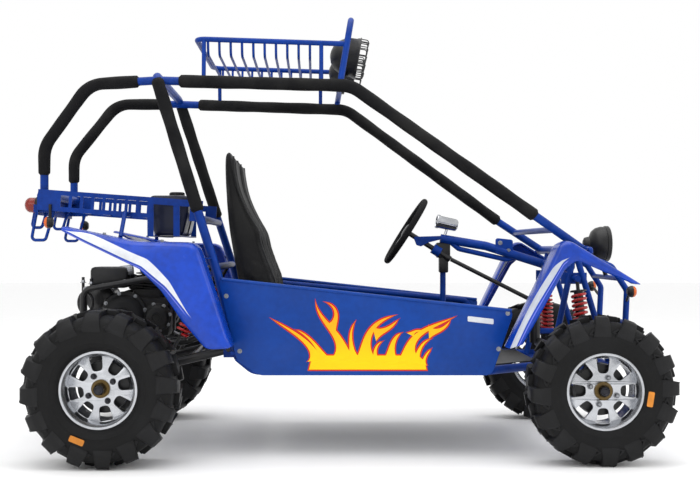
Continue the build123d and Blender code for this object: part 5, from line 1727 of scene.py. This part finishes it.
@dataclass
class Dash:
    """What the driver faces: gauge, switch box, plates under the dash and steering wheel."""

    gauge: Point = (485, 240, 883)
    gauge_axis: Point = (-0.978, 0, 0.208)
    wheel: Point = (308, 240, 850)
    wheel_axis: Point = (-0.8453, 0, 0.5341)
    wheel_radius: float = 150
    grip: float = 13
    spokes: int = 3
    marks: int = 11

    def build(self) -> None:
        """Builds the pieces round the dash."""
        self.build_gauge()
        self.build_box()
        self.build_wheel()

    def build_gauge(self) -> None:
        """Turns the gauge's bright case with its dial, marks and needle."""
        shape = Shape("gauge_case")
        profile = [(-47, 0), (-47, 18), (-42, 25), (-34, 27), (30, 27.5), (36, 30.5), (46, 30.5), (47.5, 29),
                   (47, 26), (43, 25), (42, 0)]
        shape.lathe(profile, self.gauge, self.gauge_axis, 48)
        shape.tube([(485, 240, 858), (478, 240, 838), (470, 240, 818)], 6, 12)
        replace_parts(shape.piece(CHROME, 30), "gauge")
        face = Shape("gauge_dial")
        face.lathe([(41, 0), (41, 25), (43, 25), (43, 0)], self.gauge, self.gauge_axis, 40)
        face.piece(DIAL)
        spot = facing(self.gauge, self.gauge_axis)
        marks = Shape("gauge_marks")
        for k in range(self.marks):
            turn = Matrix.Rotation(math.radians(-30 + 24 * k), 4, "Z")
            marks.block((5, 1.3, 0.6), spot @ turn @ Matrix.Translation((20, 0, 43.3)), 0.1)
        marks.block((18, 1.4, 0.8), spot @ Matrix.Rotation(2.2, 4, "Z") @ Matrix.Translation((8, 0, 43.6)), 0.2)
        marks.piece(MARK)

    def build_box(self) -> None:
        """Builds the switch box with its key, and the plates and the tube under the dash."""
        shape = Shape("switch_box")
        shape.block((60, 46, 66), (470, 256, 768), 7)
        shape.block((8, 30, 40), (438, 256, 772), 2)
        shape.block((40, 34, 70), (472, 256, 706), 6)
        shape.piece(BLACK_PLASTIC)
        plates = Shape("dash_plates")
        bracket = [(338, 826), (460, 830), (460, 815), (400, 800), (372, 784), (352, 790)]
        plates.plate([rounded(bracket, 8, 4, closed=True)], 5, side_place(224), 0.8)
        square = [(692, 753), (767, 745), (767, 813), (692, 821)]
        plates.plate([rounded(square, 12, 5, closed=True)], 5, side_place(222), 0.8)
        run = [(498, 240, 806), (536, 240, 774), (741, 240, 728), (800, 240, 738)]
        plates.tube(sampled(rounded(run, 30, 6), 40), 11, 18)
        plates.piece(BLUE_PAINT)
        heads = [((712, 219, 800), OUTWARDS), ((748, 219, 766), OUTWARDS)]
        REPEAT.spots("dash_plate_bolts", bolt_item(10), heads, ZINC_BOLT)
        key = Shape("key_switch")
        barrel = [(0, 0), (0, 11), (6, 11), (8, 9), (8, 5), (18, 4), (18, 0)]
        key.lathe(barrel, (436, 256, 778), (-1, 0, 0.1), 20)
        key.piece(CHROME)

    def build_wheel(self) -> None:
        """Builds the steering wheel's padded rim, pierced spokes and hub."""
        rim = Shape("wheel_grip")
        angles = turns(16, closed=True)
        section = [(self.grip * math.sin(t), self.wheel_radius + self.grip * math.cos(t)) for t in angles]
        rim.lathe(section, self.wheel, self.wheel_axis, 96)
        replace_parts(rim.piece(FOAM, 60, "steering_wheel", "black_plastic"), "steering_wheel")
        shape = Shape("wheel_spokes")
        spot = facing(self.wheel, self.wheel_axis)
        reach = self.wheel_radius - 4
        arm = rounded([(24, -17), (reach, -12), (reach, 12), (24, 17)], 4, 3, closed=True)
        holes = [circle(r, 24, (x, 0)) for x, r in ((58, 9), (86, 8), (112, 7))]
        outlines = [arm, *holes]
        for angle in turns(self.spokes):
            turn = Matrix.Rotation(angle + math.pi / 2, 4, "Z")
            shape.plate(outlines, 4, spot @ turn, 0.8)
        shape.lathe([(-14, 0), (-14, 30), (3, 34), (6, 31), (10, 20), (11, 0)], self.wheel, self.wheel_axis, 40)
        shape.piece(BLACK_STEEL, 35, "steering_wheel", "black_plastic")


@dataclass
class Springs:
    """The four red coil springs round the dampers."""

    # top and bottom of each damper on the right, and the shares of its length where the spring starts and ends
    runs: tuple[tuple[Point, Point, float, float], ...] = (
        ((921, -300, 660), (947, -350, 267.1), 0.145, 0.635),
        ((-454.4, -225, 705), (-673.8, -225, 321), 0.16, 0.68),
    )
    coil: float = 24.5
    wire: float = 5.5
    pitch: float = 17.5
    steps: int = 20

    def build(self) -> None:
        """Winds the springs on both sides."""
        shape = Shape("coil_springs_right")
        for top, bottom, start, end in self.runs:
            way = Vector(bottom) - Vector(top)
            spot = facing(Vector(top) + way * start, way)
            length = way.length * (end - start)
            count = round(length / self.pitch) * self.steps
            line = []
            for k in range(count + 1):
                angle = FULL_TURN * k / self.steps
                rise = length * k / count
                line.append(spot @ Vector((self.coil * math.cos(angle), self.coil * math.sin(angle), rise)))
            shape.tube(line, self.wire, 10)
        both_sides([shape.piece(RED_SPRING, 60)], "shock_springs")


@dataclass
class Hardware:
    """Bolts on the front arms and the rear fenders."""

    arm_x: float = 947
    # distance ahead of the axle, lateral place and height
    arms: tuple[Point, ...] = ((122, 262, 322), (-122, 262, 322), (114, 245, 420), (-114, 245, 420))
    fenders: tuple[Flat, ...] = ((-850, 825), (-640, 799.5))
    sizes: Flat = (15, 11)

    def build(self) -> None:
        """Sets the bolt heads on both sides."""
        arms = [((self.arm_x + off, -y, z), (math.copysign(1, off), 0, 0)) for off, y, z in self.arms]
        fenders = [((x, -520, z), (0.05, 0, 1)) for x, z in self.fenders]
        for name, size, places in zip(("arm", "fender"), self.sizes, (arms, fenders)):
            both_sides([REPEAT.spots(f"{name}_bolts_right", bolt_item(size), places, ZINC_BOLT)])


def dress_nodes() -> None:
    """Gives every CAD node that stays in view its finish, by its material slot."""
    finishes = {f.slot: f for f in (BLUE_PAINT, BLACK_STEEL, BLACK_PLASTIC, STEEL, RED_SPRING)}
    for part in frame["record"]["subparts"]:
        finish = finishes.get(part["material_slot"])
        if finish is None:
            continue
        data = frame["nodes"][part["node"]].data
        data.materials.clear()
        data.materials.append(material_of(finish))
        log.info("%s: finished as %s", part["node"], finish.name)


@dataclass
class Studio:
    """The pale floor, the soft lights and the camera."""

    eye: Point = (-0.080, -4.580, 0.778)
    lens: float = 57.4
    shift: Flat = (0.0486, -0.003)
    floor: float = 40.0
    aim: Point = (0, 0, 0.6)
    # name, place, size and power of each light
    lights: tuple[tuple[str, Point, float, float], ...] = (
        ("over", (0.0, -0.6, 4.6), 4.5, 120),
        ("near", (-2.6, -5.2, 3.2), 3.0, 40),
        ("front", (5.0, -2.0, 2.6), 2.5, 35),
    )

    def build(self) -> None:
        """Builds the studio round the object."""
        self.build_floor()
        self.build_light()
        self.build_camera()

    def build_floor(self) -> None:
        """Lays the floor."""
        half = self.floor / 2
        corners = [(-half, -half, 0), (half, -half, 0), (half, half, 0), (-half, half, 0)]
        data = bpy.data.meshes.new("floor")
        data.from_pydata(corners, [], [(0, 1, 2, 3)])
        obj = bpy.data.objects.new("floor", data)
        bpy.context.scene.collection.objects.link(obj)
        finish = Finish("studio_floor", "", (250, 250, 250), 0.7, shade=0.01, depth=0.0)
        data.materials.append(material_of(finish))

    def build_light(self) -> None:
        """Hangs the lights and sets the bright surroundings."""
        world = bpy.data.worlds.new("studio")
        world.use_nodes = True
        back = world.node_tree.nodes["Background"]
        back.inputs["Color"].default_value = (1.0, 1.0, 1.0, 1.0)
        back.inputs["Strength"].default_value = 1.0
        bpy.context.scene.world = world
        bpy.context.scene.view_settings.view_transform = "Standard"
        for name, spot, size, power in self.lights:
            lamp = bpy.data.lights.new(name, "AREA")
            lamp.size, lamp.energy = size, power
            obj = bpy.data.objects.new(name, lamp)
            obj.location = spot
            way = Vector(self.aim) - Vector(spot)
            obj.rotation_euler = way.to_track_quat("-Z", "Y").to_euler()
            bpy.context.scene.collection.objects.link(obj)

    def build_camera(self) -> None:
        """Sets the camera square to the right-hand side."""
        eye = bpy.data.cameras.new("camera")
        eye.lens, eye.sensor_width = self.lens, 36.0
        eye.shift_x, eye.shift_y = self.shift
        obj = bpy.data.objects.new("camera", eye)
        obj.location = self.eye
        obj.rotation_euler = (math.radians(90), 0, 0)
        bpy.context.scene.collection.objects.link(obj)
        bpy.context.scene.camera = obj


def main() -> None:
    """Builds the sub-assemblies in order and sets the studio."""
    logging.basicConfig(level=logging.INFO, format="%(name)s %(message)s")
    dress_nodes()
    Wheel(
        "front", x=947, y=551, radius=267, width=178, rim_half=75, recess=40, slot_turn=0, nut_turn=71,
        bodies=("front_wheel_right", "front_wheel_left"), sticker=(155, -24), nut_finish=ZINC_BOLT,
    ).build()
    Wheel(
        "rear", x=-843, y=573, radius=279, width=254, rim_half=105, recess=60, slot_turn=10, nut_turn=30,
        bodies=("rear_axle", "rear_axle"), sticker=(-70, -172), nut_finish=DARK_NUT,
    ).build()
    CageFoam().build()
    Seat().build()
    SidePanel().build()
    Fender(
        "rear_fender",
        top=((-988, 853), (-730, 800), (-508, 796), (-383, 424)),
        edge=((-990, 842), (-909, 800), (-711, 705), (-631, 625), (-558, 519), (-472, 417), (-400, 418)),
        outside=590, inside=(430, 452), switch=0.58, roll=30, bend=60, finish=REAR_PLASTIC,
    ).build()
    Fender(
        "front_fender",
        top=((1094, 648), (838, 806), (800, 790), (618, 415)),
        edge=((1062, 650), (858, 738), (816, 702), (664, 430)),
        outside=560, inside=(440, 440), switch=0.5, roll=20, bend=40, finish=FRONT_PLASTIC,
    ).build()
    Lamps().build()
    FuelTank().build()
    Engine().build()
    Dash().build()
    Springs().build()
    Hardware().build()
    Studio().build()


if __name__ == "__main__":
    main()
